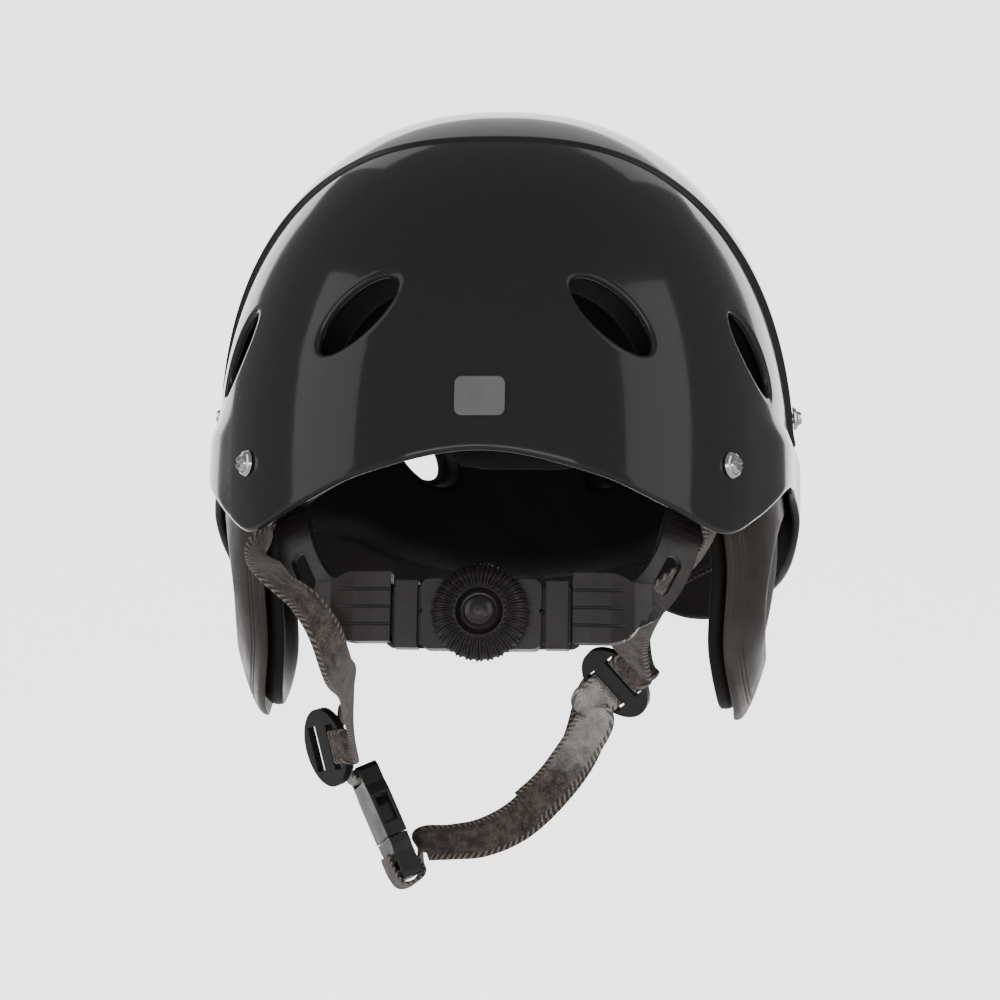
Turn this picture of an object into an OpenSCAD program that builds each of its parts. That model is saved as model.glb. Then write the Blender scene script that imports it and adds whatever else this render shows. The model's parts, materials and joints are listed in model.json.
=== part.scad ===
// Water sports helmet with ear guards, rear dial cradle and chin strap.
// Millimetres. Z up, the rear faces -Y, +X is the wearer's right.
// The origin is the middle of the head space at brow level.

/* [Shell] */
// Half width of the shell at brow level
shell_half_w = 110.5; // [104:0.5:116]
// Length of the shell behind the origin
shell_rear = 132; // [124:0.5:140]
// Length of the shell ahead of the origin
shell_front = 136; // [128:0.5:144]
// Height of the crown above brow level
shell_h = 142; // [134:0.5:150]
// Squareness of the outline, 2 is an ellipse
shell_exp = 2.25; // [2:0.05:2.6]
// Wall thickness of the shell
shell_t = 3; // [2:0.25:4]
// Depth of the step from the raised crown to the rear panel
step_d = 2.5; // [1:0.25:3]
// Extra width of the flare above each ear
flare_d = 2.5; // [0:0.25:4]

/* [Vents] */
// Length of each vent
vent_len = 37; // [30:1:44]
// Width of each vent
vent_w = 17; // [12:0.5:20]
// Lean of each vent
vent_tilt = 47; // [30:1:60]

/* [Liner] */
// Thickness of the foam liner
foam_t = 15; // [10:0.5:18]
// Gap between the shell and the liner
foam_gap = 1; // [0.6:0.1:2]
// Thickness of the comfort pads
pad_t = 8; // [5:0.5:12]

/* [Ear guards] */
// Thickness of the ear guard wall
guard_t = 2.6; // [2:0.1:4]
// Half width of the ear opening, front to back
guard_hole_y = 25; // [18:0.5:28]
// Half height of the ear opening
guard_hole_z = 27; // [20:0.5:30]
// Thickness of the ear pad foam
ear_pad_t = 9; // [7:0.5:12]

/* [Cradle] */
// Height of the dial axis
dial_z = -59.5; // [-64:0.5:-54]
// Diameter of the dial
dial_d = 34; // [30:0.5:38]
// Number of finger flutes round the dial
dial_flutes = 28; // [16:1:32]
// Height of the cradle wings
wing_h = 24; // [20:0.5:27]
// Pinion pitch radius
pinion_r = 5; // [4:0.1:6]
// Pin diameter of the cradle pivot
pivot_d = 3; // [2.5:0.1:4]
// Radial clearance of running fits
run_clear = 0.06; // [0.02:0.01:0.1]

/* [Straps] */
// Webbing width
web_w = 16; // [14:0.5:20]
// Webbing thickness
web_t = 1.5; // [1.2:0.1:2]
// Buckle width
buckle_w = 24.6; // [22:0.5:30]

/* [Hidden] */
$fn = 32;
// Shell edge: [angle from the rear, height]
edge_tab = [
  [0, -5.5], [18, -12.5], [30, -21], [43.5, -27.6], [54, -19.5], [67, -6],
  [75, -2], [84, -3], [91, -9], [98, -18], [106, -25], [118, -31], [132, -37],
  [146, -36], [160, -26], [180, -22]
];
// Liner edge: [angle from the rear, height]
foam_tab = [
  [0, 5.5], [18, -1.5], [30, -10], [43.5, -16.5], [54, -9], [67, 9], [75, 16],
  [84, 15], [91, 9], [98, 1], [108, -4], [125, 0], [142, 2], [155, -5], [180, -11]
];
// Vents: [angle from the rear, height]
vent_tab = [[20.8, 43], [54, 39], [105, 39], [157, 38]];
// Screws: [angle from the rear, height, offset from the form, inner end of the nut]
screw_tab = [[44, -5, -2.5, -11.2], [92.7, 29, 0.5, -14.3], [119, 0, 1.8, -8.8]];
wall_in = shell_t + step_d;
// Grid of the shell and of the liner: [columns, rows below the crease, rows above it]
shell_grid = [60, 6, 10];
foam_grid = [48, 5, 8];
pivot_x = 68.5;
pivot_y = -82;
pivot_z = -14;
belt_h = 15;

// ---------- small helpers ----------
function unit(v) = v / norm(v);
function ease(u) = let (c = min(1, max(0, u))) c * c * (3 - 2 * c);
function sgn(v) = v < 0 ? -1 : 1;
function seg(tab, t, i = 0) =
  (i >= len(tab) - 2 || t < tab[i + 1][0]) ? i : seg(tab, t, i + 1);
function slope(tab, i) =
  (i == 0 || i == len(tab) - 1) ? 0
  : (tab[i + 1][1] - tab[i - 1][1]) / (tab[i + 1][0] - tab[i - 1][0]);
function curve(tab, t) =
  let (i = seg(tab, t), h = tab[i + 1][0] - tab[i][0])
  let (u = min(1, max(0, (t - tab[i][0]) / h)), v = 1 - u)
  tab[i][1] * (1 + 2 * u) * v * v + slope(tab, i) * h * u * v * v
  + tab[i + 1][1] * u * u * (3 - 2 * u) - slope(tab, i + 1) * h * u * u * v;

module both_sides() {
  children();
  mirror([1, 0, 0])
    children();
}

// ---------- shell form ----------
function fold(th) = let (a = (th % 360 + 360) % 360) a > 180 ? 360 - a : a;
function edge_z(f) = curve(edge_tab, f);
function crease_z(f) = f < 88 ? 113 - 46 * pow(f / 70, 3.2) : 16.6 + (f - 88) * 0.35;
function step_at(f) = step_d * (1 - ease((f - 84) / 10));
function flare_at(f, z) =
  flare_d * ease((f - 52) / 18) * (1 - ease((f - 112) / 20)) * ease((22 - z) / 12);
function plan_r(th, d) =
  let (b = cos(th) > 0 ? shell_rear + d : shell_front + d)
  let (s = pow(abs(sin(th)) / (shell_half_w + d), shell_exp))
  let (c = pow(abs(cos(th)) / b, shell_exp))
  pow(s + c, -1 / shell_exp);
function rise_r(z, h) =
  z >= 0 ? pow(max(0, 1 - pow(z / h, shell_exp)), 1 / shell_exp)
  : 1 - 0.35 * pow(z / h, 2);
// A point at angle th and height z, d outside the plain form
function form_pt(th, z, d, e) =
  let (r = (plan_r(th, d) + e) * rise_r(z, shell_h + d))
  [r * sin(th), -r * cos(th), z];
// Layers: 0 shell outside, 1 shell inside, 2 liner outside, 3 liner inside
function layer_d(l) =
  l == 0 ? 0 : l == 1 ? -wall_in : l == 2 ? -wall_in - foam_gap
  : -wall_in - foam_gap - foam_t;
function thin_at(f) = step_d * ease((f - 92) / 16);
function layer_e(l, f, z, low) =
  l == 0 ? flare_at(f, z) - (low ? step_at(f) : 0)
  : l == 1 ? flare_at(f, z) + (low ? thin_at(f) : step_d)
  : l < 3 ? flare_at(f, z) + thin_at(f) * ease((60 - z) / 40) : 0;
function low_z(l, f) =
  l < 2 ? edge_z(f) : curve(foam_tab, f);
function split_z(l, f) = l < 2 ? crease_z(f) : 52;
function row_z(l, f, j, g) =
  let (h = shell_h + layer_d(l), zr = low_z(l, f), zs = split_z(l, f))
  j <= g[1] ? zr + (zs - 0.7 - zr) * j / g[1]
  : let (p = asin(pow((zs + 0.7) / h, shell_exp / 2)))
    h * pow(sin(p + (90 - p) * (j - g[1] - 1) / g[2]), 2 / shell_exp);
function grid_pt(l, th, j, g) =
  let (f = fold(th), z = row_z(l, f, j, g))
  form_pt(th, z, layer_d(l), layer_e(l, f, z, j <= g[1]));

// A closed dome between two layers
module dome(lo, li, g) {
  m = g[1] + 1 + g[2];
  n = g[0];
  out = [for (j = [0:m - 1]) for (i = [0:n - 1]) grid_pt(lo, i * 360 / n, j, g)];
  inn = [for (j = [0:m - 1]) for (i = [0:n - 1]) grid_pt(li, i * 360 / n, j, g)];
  top = [[0, 0, shell_h + layer_d(lo)], [0, 0, shell_h + layer_d(li)]];
  k = n * m;
  faces = [
    for (j = [0:m - 2]) for (i = [0:n - 1]) let (a = j * n + i, b = j * n + (i + 1) % n)
      each [[a, b + n, b], [a, a + n, b + n], [k + a, k + b, k + b + n],
        [k + a, k + b + n, k + a + n]],
    for (i = [0:n - 1]) let (a = i, b = (i + 1) % n) each [[a, b, k + b], [a, k + b, k + a]],
    for (i = [0:n - 1]) let (a = (m - 1) * n + i, b = (m - 1) * n + (i + 1) % n)
      each [[a, 2 * k, b], [k + a, k + b, 2 * k + 1]]
  ];
  polyhedron(points = concat(out, inn, top), faces = faces, convexity = 8);
}

function grad_at(p) =
  let (b = p[1] < 0 ? shell_rear : shell_front, e = shell_exp - 1)
  unit([sgn(p[0]) * pow(abs(p[0]) / shell_half_w, e) / shell_half_w,
    sgn(p[1]) * pow(abs(p[1]) / b, e) / b,
    p[2] > 0 ? pow(p[2] / shell_h, e) / shell_h : 0]);

// Places children on the form: Z outward, Y up along the wall
module on_form(th, z, d = 0) {
  p = form_pt(th, z, 0, 0) + d * grad_at(form_pt(th, z, 0, 0));
  n = grad_at(form_pt(th, z, 0, 0));
  h = unit(cross([0, 0, 1], n));
  v = cross(n, h);
  multmatrix([
    [h[0], v[0], n[0], p[0]],
    [h[1], v[1], n[1], p[1]],
    [h[2], v[2], n[2], p[2]],
    [0, 0, 0, 1]
  ])
    children();
}

module vent_cutters(grow, z0, z1) {
  both_sides() {
    for (v = vent_tab) {
      on_form(v[0], v[1])
        rotate([0, 0, vent_tilt])
        translate([0, 0, z0])
        linear_extrude(z1 - z0)
        scale([(vent_w + grow) / (vent_len + grow), 1])
        circle(d = vent_len + grow, $fn = 36);
    }
  }
}

module screw_cutters(d, z0, z1) {
  both_sides() {
    for (s = screw_tab) {
      on_form(s[0], s[1])
        translate([0, 0, z0])
        cylinder(d = d, h = z1 - z0, $fn = 24);
    }
  }
}

module outer_shell() {
  color([0.16, 0.16, 0.17])
    difference() {
      dome(0, 1, shell_grid);
      vent_cutters(0, -16, 12);
      screw_cutters(4.4, -16, 12);
    }
}

module foam_liner() {
  color([0.07, 0.07, 0.075])
    difference() {
      dome(2, 3, foam_grid);
      vent_cutters(5, -34, 12);
      both_sides() {
        // Room for the rear strap ends and the cradle brackets
        on_form(44, -14, -34)
          translate([-17, -30, 0])
          cube([34, 52, 40]);
        // Room for the ear guard tongue and its nut
        translate([93.5, -22, -30])
          cube([20, 50, 72]);
        // Room for the top of the ear guard and its pad
        translate([82, -61, -24])
          cube([34, 103, 26]);
        // Room for the front strap ends
        on_form(119, -6, -12)
          translate([-13, -30, 0])
          cube([26, 46, 20]);
      }
    }
}

// A curved pad on the inside of the liner, rounded like a pillow
module curved_pad(th0, th1, z0, z1) {
  n = 14;
  m = 8;
  lo = layer_d(3) - 0.9;
  function pt(i, j, s) =
    let (u = 2 * i / n - 1, v = 2 * j / m - 1)
    let (q = pow(1 - pow(abs(u), 4), 0.5) * pow(1 - pow(abs(v), 4), 0.5))
    let (th = (th0 + th1) / 2 + (th1 - th0) / 2 * u * (1 - 0.12 * v * v))
    let (z = (z0 + z1) / 2 + (z1 - z0) / 2 * v * (1 - 0.12 * u * u))
    form_pt(th, z, lo - (s == 0 ? 0 : 1.2 + (pad_t - 1.2) * q), 0);
  k = (n + 1) * (m + 1);
  pts = [for (s = [0, 1]) for (j = [0:m]) for (i = [0:n]) pt(i, j, s)];
  w = n + 1;
  rim = concat([for (i = [0:n - 1]) i], [for (j = [0:m - 1]) n + j * w],
    [for (i = [n:-1:1]) m * w + i], [for (j = [m:-1:1]) j * w]);
  faces = [
    for (j = [0:m - 1]) for (i = [0:n - 1]) let (a = j * w + i)
      each [[a, a + w + 1, a + 1], [a, a + w, a + w + 1],
        [k + a, k + a + 1, k + a + w + 1], [k + a, k + a + w + 1, k + a + w]],
    for (i = [0:len(rim) - 1]) let (a = rim[i], b = rim[(i + 1) % len(rim)])
      each [[a, b, k + b], [a, k + b, k + a]]
  ];
  polyhedron(points = pts, faces = faces, convexity = 4);
}

module front_pad() {
  color([0.1, 0.1, 0.1])
    curved_pad(163, 197, 24, 48);
}

module side_pad_right() {
  color([0.1, 0.1, 0.1])
    curved_pad(62, 92, 22, 58);
}

module side_pad_left() {
  color([0.1, 0.1, 0.1])
    mirror([1, 0, 0])
    curved_pad(62, 92, 22, 58);
}

module rear_pad() {
  color([0.1, 0.1, 0.1])
    curved_pad(-26, 26, 72, 92);
}

module crown_pad() {
  color([0.1, 0.1, 0.1])
    translate([0, 0, shell_h + layer_d(3) - pad_t - 7])
    intersection() {
      rotate_extrude($fn = 40)
        polygon([[0, 0], [26, 0], [29, 1.2], [30, 3.5], [29, 6], [26, 7.2], [0, 7.2]]);
      translate([-40, -40, -1])
        cube([80, 80, 12]);
    }
}

module at_screws() {
  both_sides() {
    for (s = screw_tab) {
      on_form(s[0], s[1], s[2])
        children();
    }
  }
}

module strap_screws() {
  color([0.72, 0.72, 0.74])
    both_sides() {
      for (s = screw_tab) {
        on_form(s[0], s[1], s[2])
          union() {
            translate([0, 0, 2.1])
              difference() {
                cylinder(d1 = 6.2, d2 = 4.6, h = 1.5);
                translate([-5, -0.45, 0.8])
                  cube([10, 0.9, 2]);
              }
            translate([0, 0, s[3] + 0.2])
              cylinder(d = 4, h = 1.9 - s[3]);
          }
      }
    }
}

module screw_washers() {
  color([0.66, 0.66, 0.68])
    at_screws()
    rotate_extrude()
    polygon([[2.3, 0.35], [4.5, 0.35], [4.7, 0.7], [4.1, 1.7], [3.5, 2.05], [2.3, 2.05]]);
}

module strap_nuts() {
  color([0.6, 0.6, 0.62])
    both_sides() {
      for (s = screw_tab) {
        on_form(s[0], s[1], s[2])
          translate([0, 0, s[3]])
          difference() {
            cylinder(d = 10, h = 2.6);
            translate([0, 0, -1])
              cylinder(d = 4.1, h = 5);
          }
      }
    }
}

module size_label() {
  color([0.5, 0.5, 0.5])
    on_form(0, 11.5, -step_d)
    translate([0, 0, 0.05])
    linear_extrude(0.35)
    offset(2.5)
    square([12, 8.5], center = true);
}

// ---------- ear guards ----------
guard_tab = [[0, 42], [48, 54], [90, 50], [132, 61], [180, 44], [225, 47], [270, 49.5],
  [315, 46], [360, 42]];
guard_x_tab = [[-95, 81], [-89, 88], [-84, 92.4], [-73, 97], [-57, 101.6], [-40, 105],
  [-27, 106.6], [-12, 106.5], [0, 105.6], [12, 104.2], [24, 102.6], [40, 99.6]];
guard_cy = -6;
guard_cz = -38;
function guard_x(y, z) =
  let (drop = 19.5 * pow(abs(y + 2) / 48, 1.9))
  curve(guard_x_tab, z) - drop * (1 - 0.6 * ease((z + 16) / 16));
// Outline of the guard: a rounded cup with a tongue that goes up inside the shell
function guard_r(a, tongue) =
  let (r = curve(guard_tab, a), up = sin(a) > 0.3 ? 38 / sin(a) : 99)
  (tongue && a > 69 && a < 96) ? 74 / sin(a) : min(r, up);
// s runs from the ear opening to the outline, o is the distance in from the outer face
function guard_pt(a, s, o, hy, hz, shrink) =
  let (r = guard_r(a, shrink == 0) - shrink)
  let (qy = r * cos(a) + guard_cy, qz = r * sin(a) + guard_cz)
  let (py = hy * cos(a) - 1, pz = hz * sin(a) + guard_cz + 1)
  let (y = py + (qy - py) * s, z = pz + (qz - pz) * s)
  [guard_x(y, z) - o, y, z];

// A curved ring between two depths, o0 outside and o1 inside
module guard_ring(hy, hz, shrink, o0, o1, round_in, n, m) {
  pts = concat(
    [for (j = [0:m]) for (i = [0:n - 1])
      let (s = j / m, e = round_in * pow(abs(2 * s - 1), 4))
      guard_pt(i * 360 / n, s, o0, hy, hz, shrink)],
    [for (j = [0:m]) for (i = [0:n - 1])
      let (s = j / m, e = round_in * pow(abs(2 * s - 1), 4))
      guard_pt(i * 360 / n, s, o1 - e, hy, hz, shrink)]
  );
  k = n * (m + 1);
  faces = [
    for (j = [0:m - 1]) for (i = [0:n - 1]) let (a = j * n + i, b = j * n + (i + 1) % n)
      each [[a, b + n, b], [a, a + n, b + n], [k + a, k + b, k + b + n],
        [k + a, k + b + n, k + a + n]],
    for (i = [0:n - 1]) let (a = i, b = (i + 1) % n) each [[a, b, k + b], [a, k + b, k + a]],
    for (i = [0:n - 1]) let (a = m * n + i, b = m * n + (i + 1) % n)
      each [[a, k + b, b], [a, k + a, k + b]]
  ];
  polyhedron(points = pts, faces = faces, convexity = 6);
}

module ear_guard_right() {
  color([0.27, 0.25, 0.24])
    difference() {
      guard_ring(guard_hole_y, guard_hole_z, 0, 0, guard_t, 0, 72, 5);
      // Slot that drops off the screw
      translate([90, 2.4, 24])
        cube([20, 5.2, 20]);
      // Relief for the nut inside the tongue
      translate([90, -0.8, 27.5])
        cube([8.8, 11.6, 14]);
    }
}

module ear_guard_left() {
  mirror([1, 0, 0])
    ear_guard_right();
}

// A curved sheet that closes the ear opening from inside
module ear_mesh_right() {
  n = 40;
  m = 5;
  hy = guard_hole_y + 2;
  hz = guard_hole_z + 2;
  function pt(i, j, o) =
    let (y = hy * j / m * cos(i * 360 / n) - 1, z = hz * j / m * sin(i * 360 / n) + guard_cz + 1)
    [guard_x(y, z) - guard_t - o, y, z];
  k = n * m + 1;
  pts = [for (o = [0.4, 1.1]) each concat([pt(0, 0, o)],
    [for (j = [1:m]) for (i = [0:n - 1]) pt(i, j, o)])];
  faces = [
    for (i = [0:n - 1]) let (a = 1 + i, b = 1 + (i + 1) % n)
      each [[0, b, a], [k, k + a, k + b]],
    for (j = [1:m - 1]) for (i = [0:n - 1])
      let (a = 1 + (j - 1) * n + i, b = 1 + (j - 1) * n + (i + 1) % n)
      each [[a, b, b + n], [a, b + n, a + n], [k + a, k + b + n, k + b],
        [k + a, k + a + n, k + b + n]],
    for (i = [0:n - 1]) let (a = 1 + (m - 1) * n + i, b = 1 + (m - 1) * n + (i + 1) % n)
      each [[a, b, k + b], [a, k + b, k + a]]
  ];
  color([0.05, 0.05, 0.05])
    polyhedron(points = pts, faces = faces, convexity = 4);
}

module ear_mesh_left() {
  mirror([1, 0, 0])
    ear_mesh_right();
}

module ear_pad_right() {
  color([0.12, 0.115, 0.11])
    intersection() {
      guard_ring(14, 20, 4, guard_t + 1.6, guard_t + 1.6 + ear_pad_t, ear_pad_t * 0.35, 40, 6);
      translate([60, -70, -100])
        cube([60, 120, 100 + 2]);
    }
}

module ear_pad_left() {
  mirror([1, 0, 0])
    ear_pad_right();
}

// ---------- rear cradle ----------
module anchor_bracket_right() {
  color([0.2, 0.2, 0.2])
    difference() {
      union() {
        // Plate under the nut on the rear screw
        on_form(44, -5, -step_d)
          translate([0, 0, -8.3])
          linear_extrude(1.8)
          offset(3)
          square([8, 12], center = true);
        // Ears that hold the pivot pin
        hull() {
          on_form(44, -11, -step_d)
            translate([-6, -4, -8.3])
            cube([6, 4, 1.8]);
          translate([pivot_x + 4.6, pivot_y, pivot_z])
            rotate([0, 90, 0])
            cylinder(d = 8, h = 2.4, center = true);
        }
      }
      translate([pivot_x - 8, pivot_y, pivot_z])
        rotate([0, 90, 0])
        cylinder(d = pivot_d, h = 20);
      on_form(44, -5, -step_d)
        translate([0, 0, -14])
        cylinder(d = 4.3, h = 12);
    }
}

module anchor_bracket_left() {
  mirror([1, 0, 0])
    anchor_bracket_right();
}

module pivot_pins() {
  color([0.6, 0.6, 0.62])
    both_sides() {
      translate([pivot_x - 3.2, pivot_y, pivot_z])
        rotate([0, 90, 0])
        union() {
          cylinder(d = pivot_d - 0.02, h = 9);
          translate([0, 0, -1])
            cylinder(d = pivot_d + 2, h = 1);
        }
    }
}

wing_z = -57;
// Top view of a wing: straight inside face, bowed outside face
module wing_plan() {
  polygon([
    [31, -97.6], [56, -94.8], [58.5, -96], [58, -99.5], [52, -103.6],
    [44, -105.8], [37, -106.8], [31, -107]
  ]);
}

// Middle line of the arm and the direction across it
arm_path = [[47, -100.5, -57.5], [54, -99.3, -54.5], [60, -95.6, -48], [65, -91, -38],
  [68, -86.5, -26], [68.5, -83, -16.5]];
arm_across = [[0, 0, 1], [-0.35, 0, 0.9], [-0.8, -0.35, 0.5], [-0.86, -0.5, 0.25],
  [-0.8, -0.6, 0], [-0.5, -0.85, 0]];
arm_v = unit([5, 4.6, 10]);
arm_n = unit(cross(arm_v, [-0.83, -0.43, 0.38]));
arm_s = cross(arm_v, arm_n);

module cradle_arm_right() {
  color([0.24, 0.225, 0.215])
    difference() {
      union() {
        // Ribbed wing with a rounded outer end
        intersection() {
          translate([0, 0, wing_z - wing_h / 2])
            linear_extrude(wing_h)
            wing_plan();
          translate([0, -80, 0])
            rotate([90, 0, 0])
            linear_extrude(40)
            union() {
              translate([31, wing_z - wing_h / 2])
                square([12, wing_h]);
              translate([43, wing_z])
                circle(d = wing_h, $fn = 48);
              translate([43, wing_z - 4])
                square([16, 13]);
            }
        }
        // Arm that rises to the pivot
        webbing(arm_path, arm_across, 15, 2.6);
        translate([pivot_x, pivot_y, pivot_z])
          rotate([0, 90, 0])
          cylinder(d = 9, h = 4, center = true);
      }
      // Slanted slot through the arm
      in_frame([62.2, -93.6, -44.5], arm_s, arm_v, arm_n)
        hull() {
          for (k = [-1, 1]) {
            translate([0, k * 5, -9])
              cylinder(d = 6, h = 18, $fn = 24);
          }
        }
      // Three grooves along the wing
      for (k = [-1:1]) {
        translate([30, -108.4, wing_z + k * 6 - 0.45])
          rotate([0, 0, 5.5])
          cube([20, 2.2, 0.9]);
      }
      // Pocket for the toothed belt
      translate([30, -103.2, dial_z - belt_h / 2 - 0.5])
        cube([20.5, 4.4, belt_h + 1]);
      // Room for the bracket and for the pin head beside the pivot
      translate([pivot_x + 2.6, pivot_y - 12, pivot_z - 9])
        cube([12, 24, 20]);
      translate([pivot_x - 14, pivot_y, pivot_z])
        rotate([0, 90, 0])
        cylinder(d = pivot_d + 2.8, h = 11.2);
      // Pivot bore
      translate([pivot_x - 6, pivot_y, pivot_z])
        rotate([0, 90, 0])
        cylinder(d = pivot_d + 2 * run_clear, h = 14);
    }
}

module cradle_arm_left() {
  mirror([1, 0, 0])
    cradle_arm_right();
}

module along_dial(y) {
  translate([0, y, dial_z])
    rotate([90, 0, 0])
    children();
}

module dial_housing() {
  color([0.22, 0.21, 0.2])
    difference() {
      union() {
        along_dial(-97.5)
          linear_extrude(10.5)
          offset(3)
          square([35, 18], center = true);
        along_dial(-97.5)
          linear_extrude(6.6)
          offset(1)
          square([59, 17.6], center = true);
      }
      // Belt channel
      translate([-40, -103, dial_z - belt_h / 2 - 0.4])
        cube([80, 4.2, belt_h + 0.8]);
      // Shaft bore, ratchet pocket and rear relief
      along_dial(-96)
        cylinder(d = 6 + 2 * run_clear, h = 14, $fn = 48);
      along_dial(-102.5)
        cylinder(d = 20, h = 3.3, $fn = 48);
      along_dial(-97)
        cylinder(d = 11.6, h = 6, $fn = 48);
      for (s = [-1, 1]) {
        translate([s * 20.6, -100, dial_z + 1])
          rotate([90, 0, 0])
          cylinder(d = 1.6, h = 12, $fn = 16);
      }
    }
}

module belt_keepers() {
  color([0.3, 0.285, 0.275])
    both_sides() {
      difference() {
        translate([21.8, -106.2, dial_z - 11.6])
          cube([7.8, 8.8, 23.2]);
        translate([20, -104.4, dial_z - 10.1])
          cube([12, 20, 20.2]);
      }
    }
}

module dial_back_plate() {
  color([0.16, 0.16, 0.16])
    difference() {
      along_dial(-95.6)
        linear_extrude(1.6)
        offset(4)
        square([60, 14], center = true);
      along_dial(-94)
        cylinder(d = 4.12, h = 4, $fn = 40);
    }
}

module nape_pad() {
  color([0.1, 0.1, 0.1])
    hull() {
      along_dial(-94)
        linear_extrude(1.3)
        offset(5)
        square([54, 10], center = true);
      along_dial(-91)
        linear_extrude(1)
        offset(3)
        square([52, 8], center = true);
    }
}

module dial_knob() {
  color([0.2, 0.19, 0.185])
    difference() {
      along_dial(-108.4)
        union() {
          cylinder(d1 = dial_d - 6, d2 = dial_d - 2.5, h = 2);
          translate([0, 0, 2])
            difference() {
              cylinder(d1 = dial_d - 0.6, d2 = dial_d - 7, h = 7, $fn = 56);
              translate([0, 0, 4])
                cylinder(d1 = 12.4, d2 = 20, h = 4);
            }
          for (i = [0:dial_flutes - 1]) {
            rotate([0, 0, i * 360 / dial_flutes])
              translate([dial_d / 2 - 3.6, 0, 2])
              cylinder(d1 = 2.6, d2 = 1.8, h = 6, $fn = 12);
          }
          for (i = [0:dial_flutes - 1]) {
            rotate([0, 0, i * 360 / dial_flutes])
              translate([dial_d / 2 - 0.9, 0, 2])
              cylinder(d1 = 2.2, d2 = 1.3, h = 4.4, $fn = 12);
          }
        }
      along_dial(-108)
        cylinder(d = 5.9, h = 7.2, $fn = 48);
      along_dial(-114)
        cylinder(d = 11.6, h = 6, $fn = 40);
    }
}

module dial_cap() {
  color([0.14, 0.135, 0.13])
    along_dial(-115.2)
    rotate_extrude($fn = 40)
    polygon([[0, 0], [5.4, 0], [5.4, 1.6], [4.6, 2.9], [3.2, 3.8], [1.6, 4.3], [0, 4.4]]);
}

module dial_pinion() {
  color([0.35, 0.34, 0.33])
    union() {
      along_dial(-98.2)
        cylinder(d = 6, h = 17, $fn = 48);
      along_dial(-95.7)
        cylinder(d = 4, h = 4, $fn = 40);
      along_dial(-99)
        for (i = [0:11]) {
          rotate([0, 0, i * 30])
            translate([0, -0.55, 0])
            cube([pinion_r - 0.4, 1.1, 3.6]);
        }
      along_dial(-103.2)
        cylinder(d = 13, h = 2.2, $fn = 24);
      along_dial(-103.2)
        for (i = [0:23]) {
          rotate([0, 0, i * 15])
            translate([6, -0.4, 0])
            cube([1.3, 0.8, 2.2]);
        }
    }
}

module click_spring() {
  color([0.7, 0.7, 0.72])
    along_dial(-103.3)
    difference() {
      cylinder(d = 19.8, h = 2, $fn = 48);
      translate([0, 0, -1])
        cylinder(d = 18.8, h = 5, $fn = 48);
      translate([-20, -20, -1])
        cube([40, 26, 5]);
    }
}

// A toothed belt: dir is 1 for teeth above the pinion, -1 for teeth below
module belt(y, dir) {
  difference() {
    translate([-15.5, y, dial_z - belt_h / 2])
      cube([56, 1.2, belt_h]);
    translate([-12, y - 1, dial_z - 5.6])
      cube([24, 3.2, 11.2]);
    for (x = [22:3.2:38]) {
      translate([x, y - 1, dial_z - 3])
        cube([1.2, 3.2, 6]);
    }
  }
  for (i = [0:8]) {
    translate([-11.2 + i * 2.6, y, dial_z + dir * 5.4 - 0.4])
      cube([1.2, 1.2, 0.8]);
  }
}

module belt_right() {
  color([0.08, 0.08, 0.085])
    belt(-100.6, 1);
}

module belt_left() {
  color([0.08, 0.08, 0.085])
    mirror([1, 0, 0])
    belt(-102.4, -1);
}

// ---------- straps ----------
function spline(p, i, u) =
  let (n = len(p) - 1)
  let (a = p[max(i - 1, 0)], b = p[i], c = p[i + 1], d = p[min(i + 2, n)])
  0.5 * (2 * b + (c - a) * u + (2 * a - 5 * b + 4 * c - d) * u * u
    + (3 * b - a - 3 * c + d) * u * u * u);
// Webbing along path, w gives the direction across the webbing at each point
module webbing(path, across, width, thick) {
  sub = 5;
  n = (len(path) - 1) * sub;
  function at(p, t) = let (i = min(floor(t / sub), len(p) - 2)) spline(p, i, t / sub - i);
  pts = [for (t = [0:n]) let (
      c = at(path, t),
      g = unit(at(path, min(t + 0.5, n)) - at(path, max(t - 0.5, 0))),
      a0 = unit(at(across, t)),
      a = unit(a0 - (a0 * g) * g),
      b = cross(g, a)
    ) each [
      c - a * width / 2 - b * thick / 2, c + a * width / 2 - b * thick / 2,
      c + a * width / 2 + b * thick / 2, c - a * width / 2 + b * thick / 2
    ]];
  faces = [
    [0, 1, 2], [0, 2, 3],
    [4 * n, 4 * n + 2, 4 * n + 1], [4 * n, 4 * n + 3, 4 * n + 2],
    for (t = [0:n - 1]) for (q = [0:3])
      let (a = 4 * t + q, b = 4 * t + (q + 1) % 4)
      each [[a, b + 4, b], [a, a + 4, b + 4]]
  ];
  polyhedron(points = pts, faces = faces, convexity = 6);
}

web_color = [0.45, 0.41, 0.38];

// Divider rings: centre, long direction, short direction
ring_r = [43.1, 0, -73.2];
ring_rs = unit([0.67, 0.16, -0.72]);
ring_rv = unit(cross(cross(ring_rs, [0.67, -0.54, 0.51]), ring_rs));
ring_rn = cross(ring_rs, ring_rv);
ring_l = [-66.6, 6.9, -98.5];
ring_ls = unit([0.24, 0.17, -0.95]);
ring_lv = unit(cross(cross(ring_ls, [0.75, -0.65, 0.08]), ring_ls));
ring_ln = cross(ring_ls, ring_lv);
slot_v = 4.9;

// End of a strap that turns down into a slot of a ring, n is the side it comes from
function into_slot(c, v, n) =
  [c + 13 * v + 3.7 * n, c + 8.8 * v + 3.3 * n, c + 5.4 * v + 2.7 * n, c + 4.7 * v + 0.3 * n];

// Hole for a screw through a strap end
module screw_hole(th, z, side) {
  scale([side, 1, 1])
    on_form(th, z)
    translate([0, 0, -16])
    cylinder(d = 4.8, h = 18, $fn = 24);
}

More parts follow.
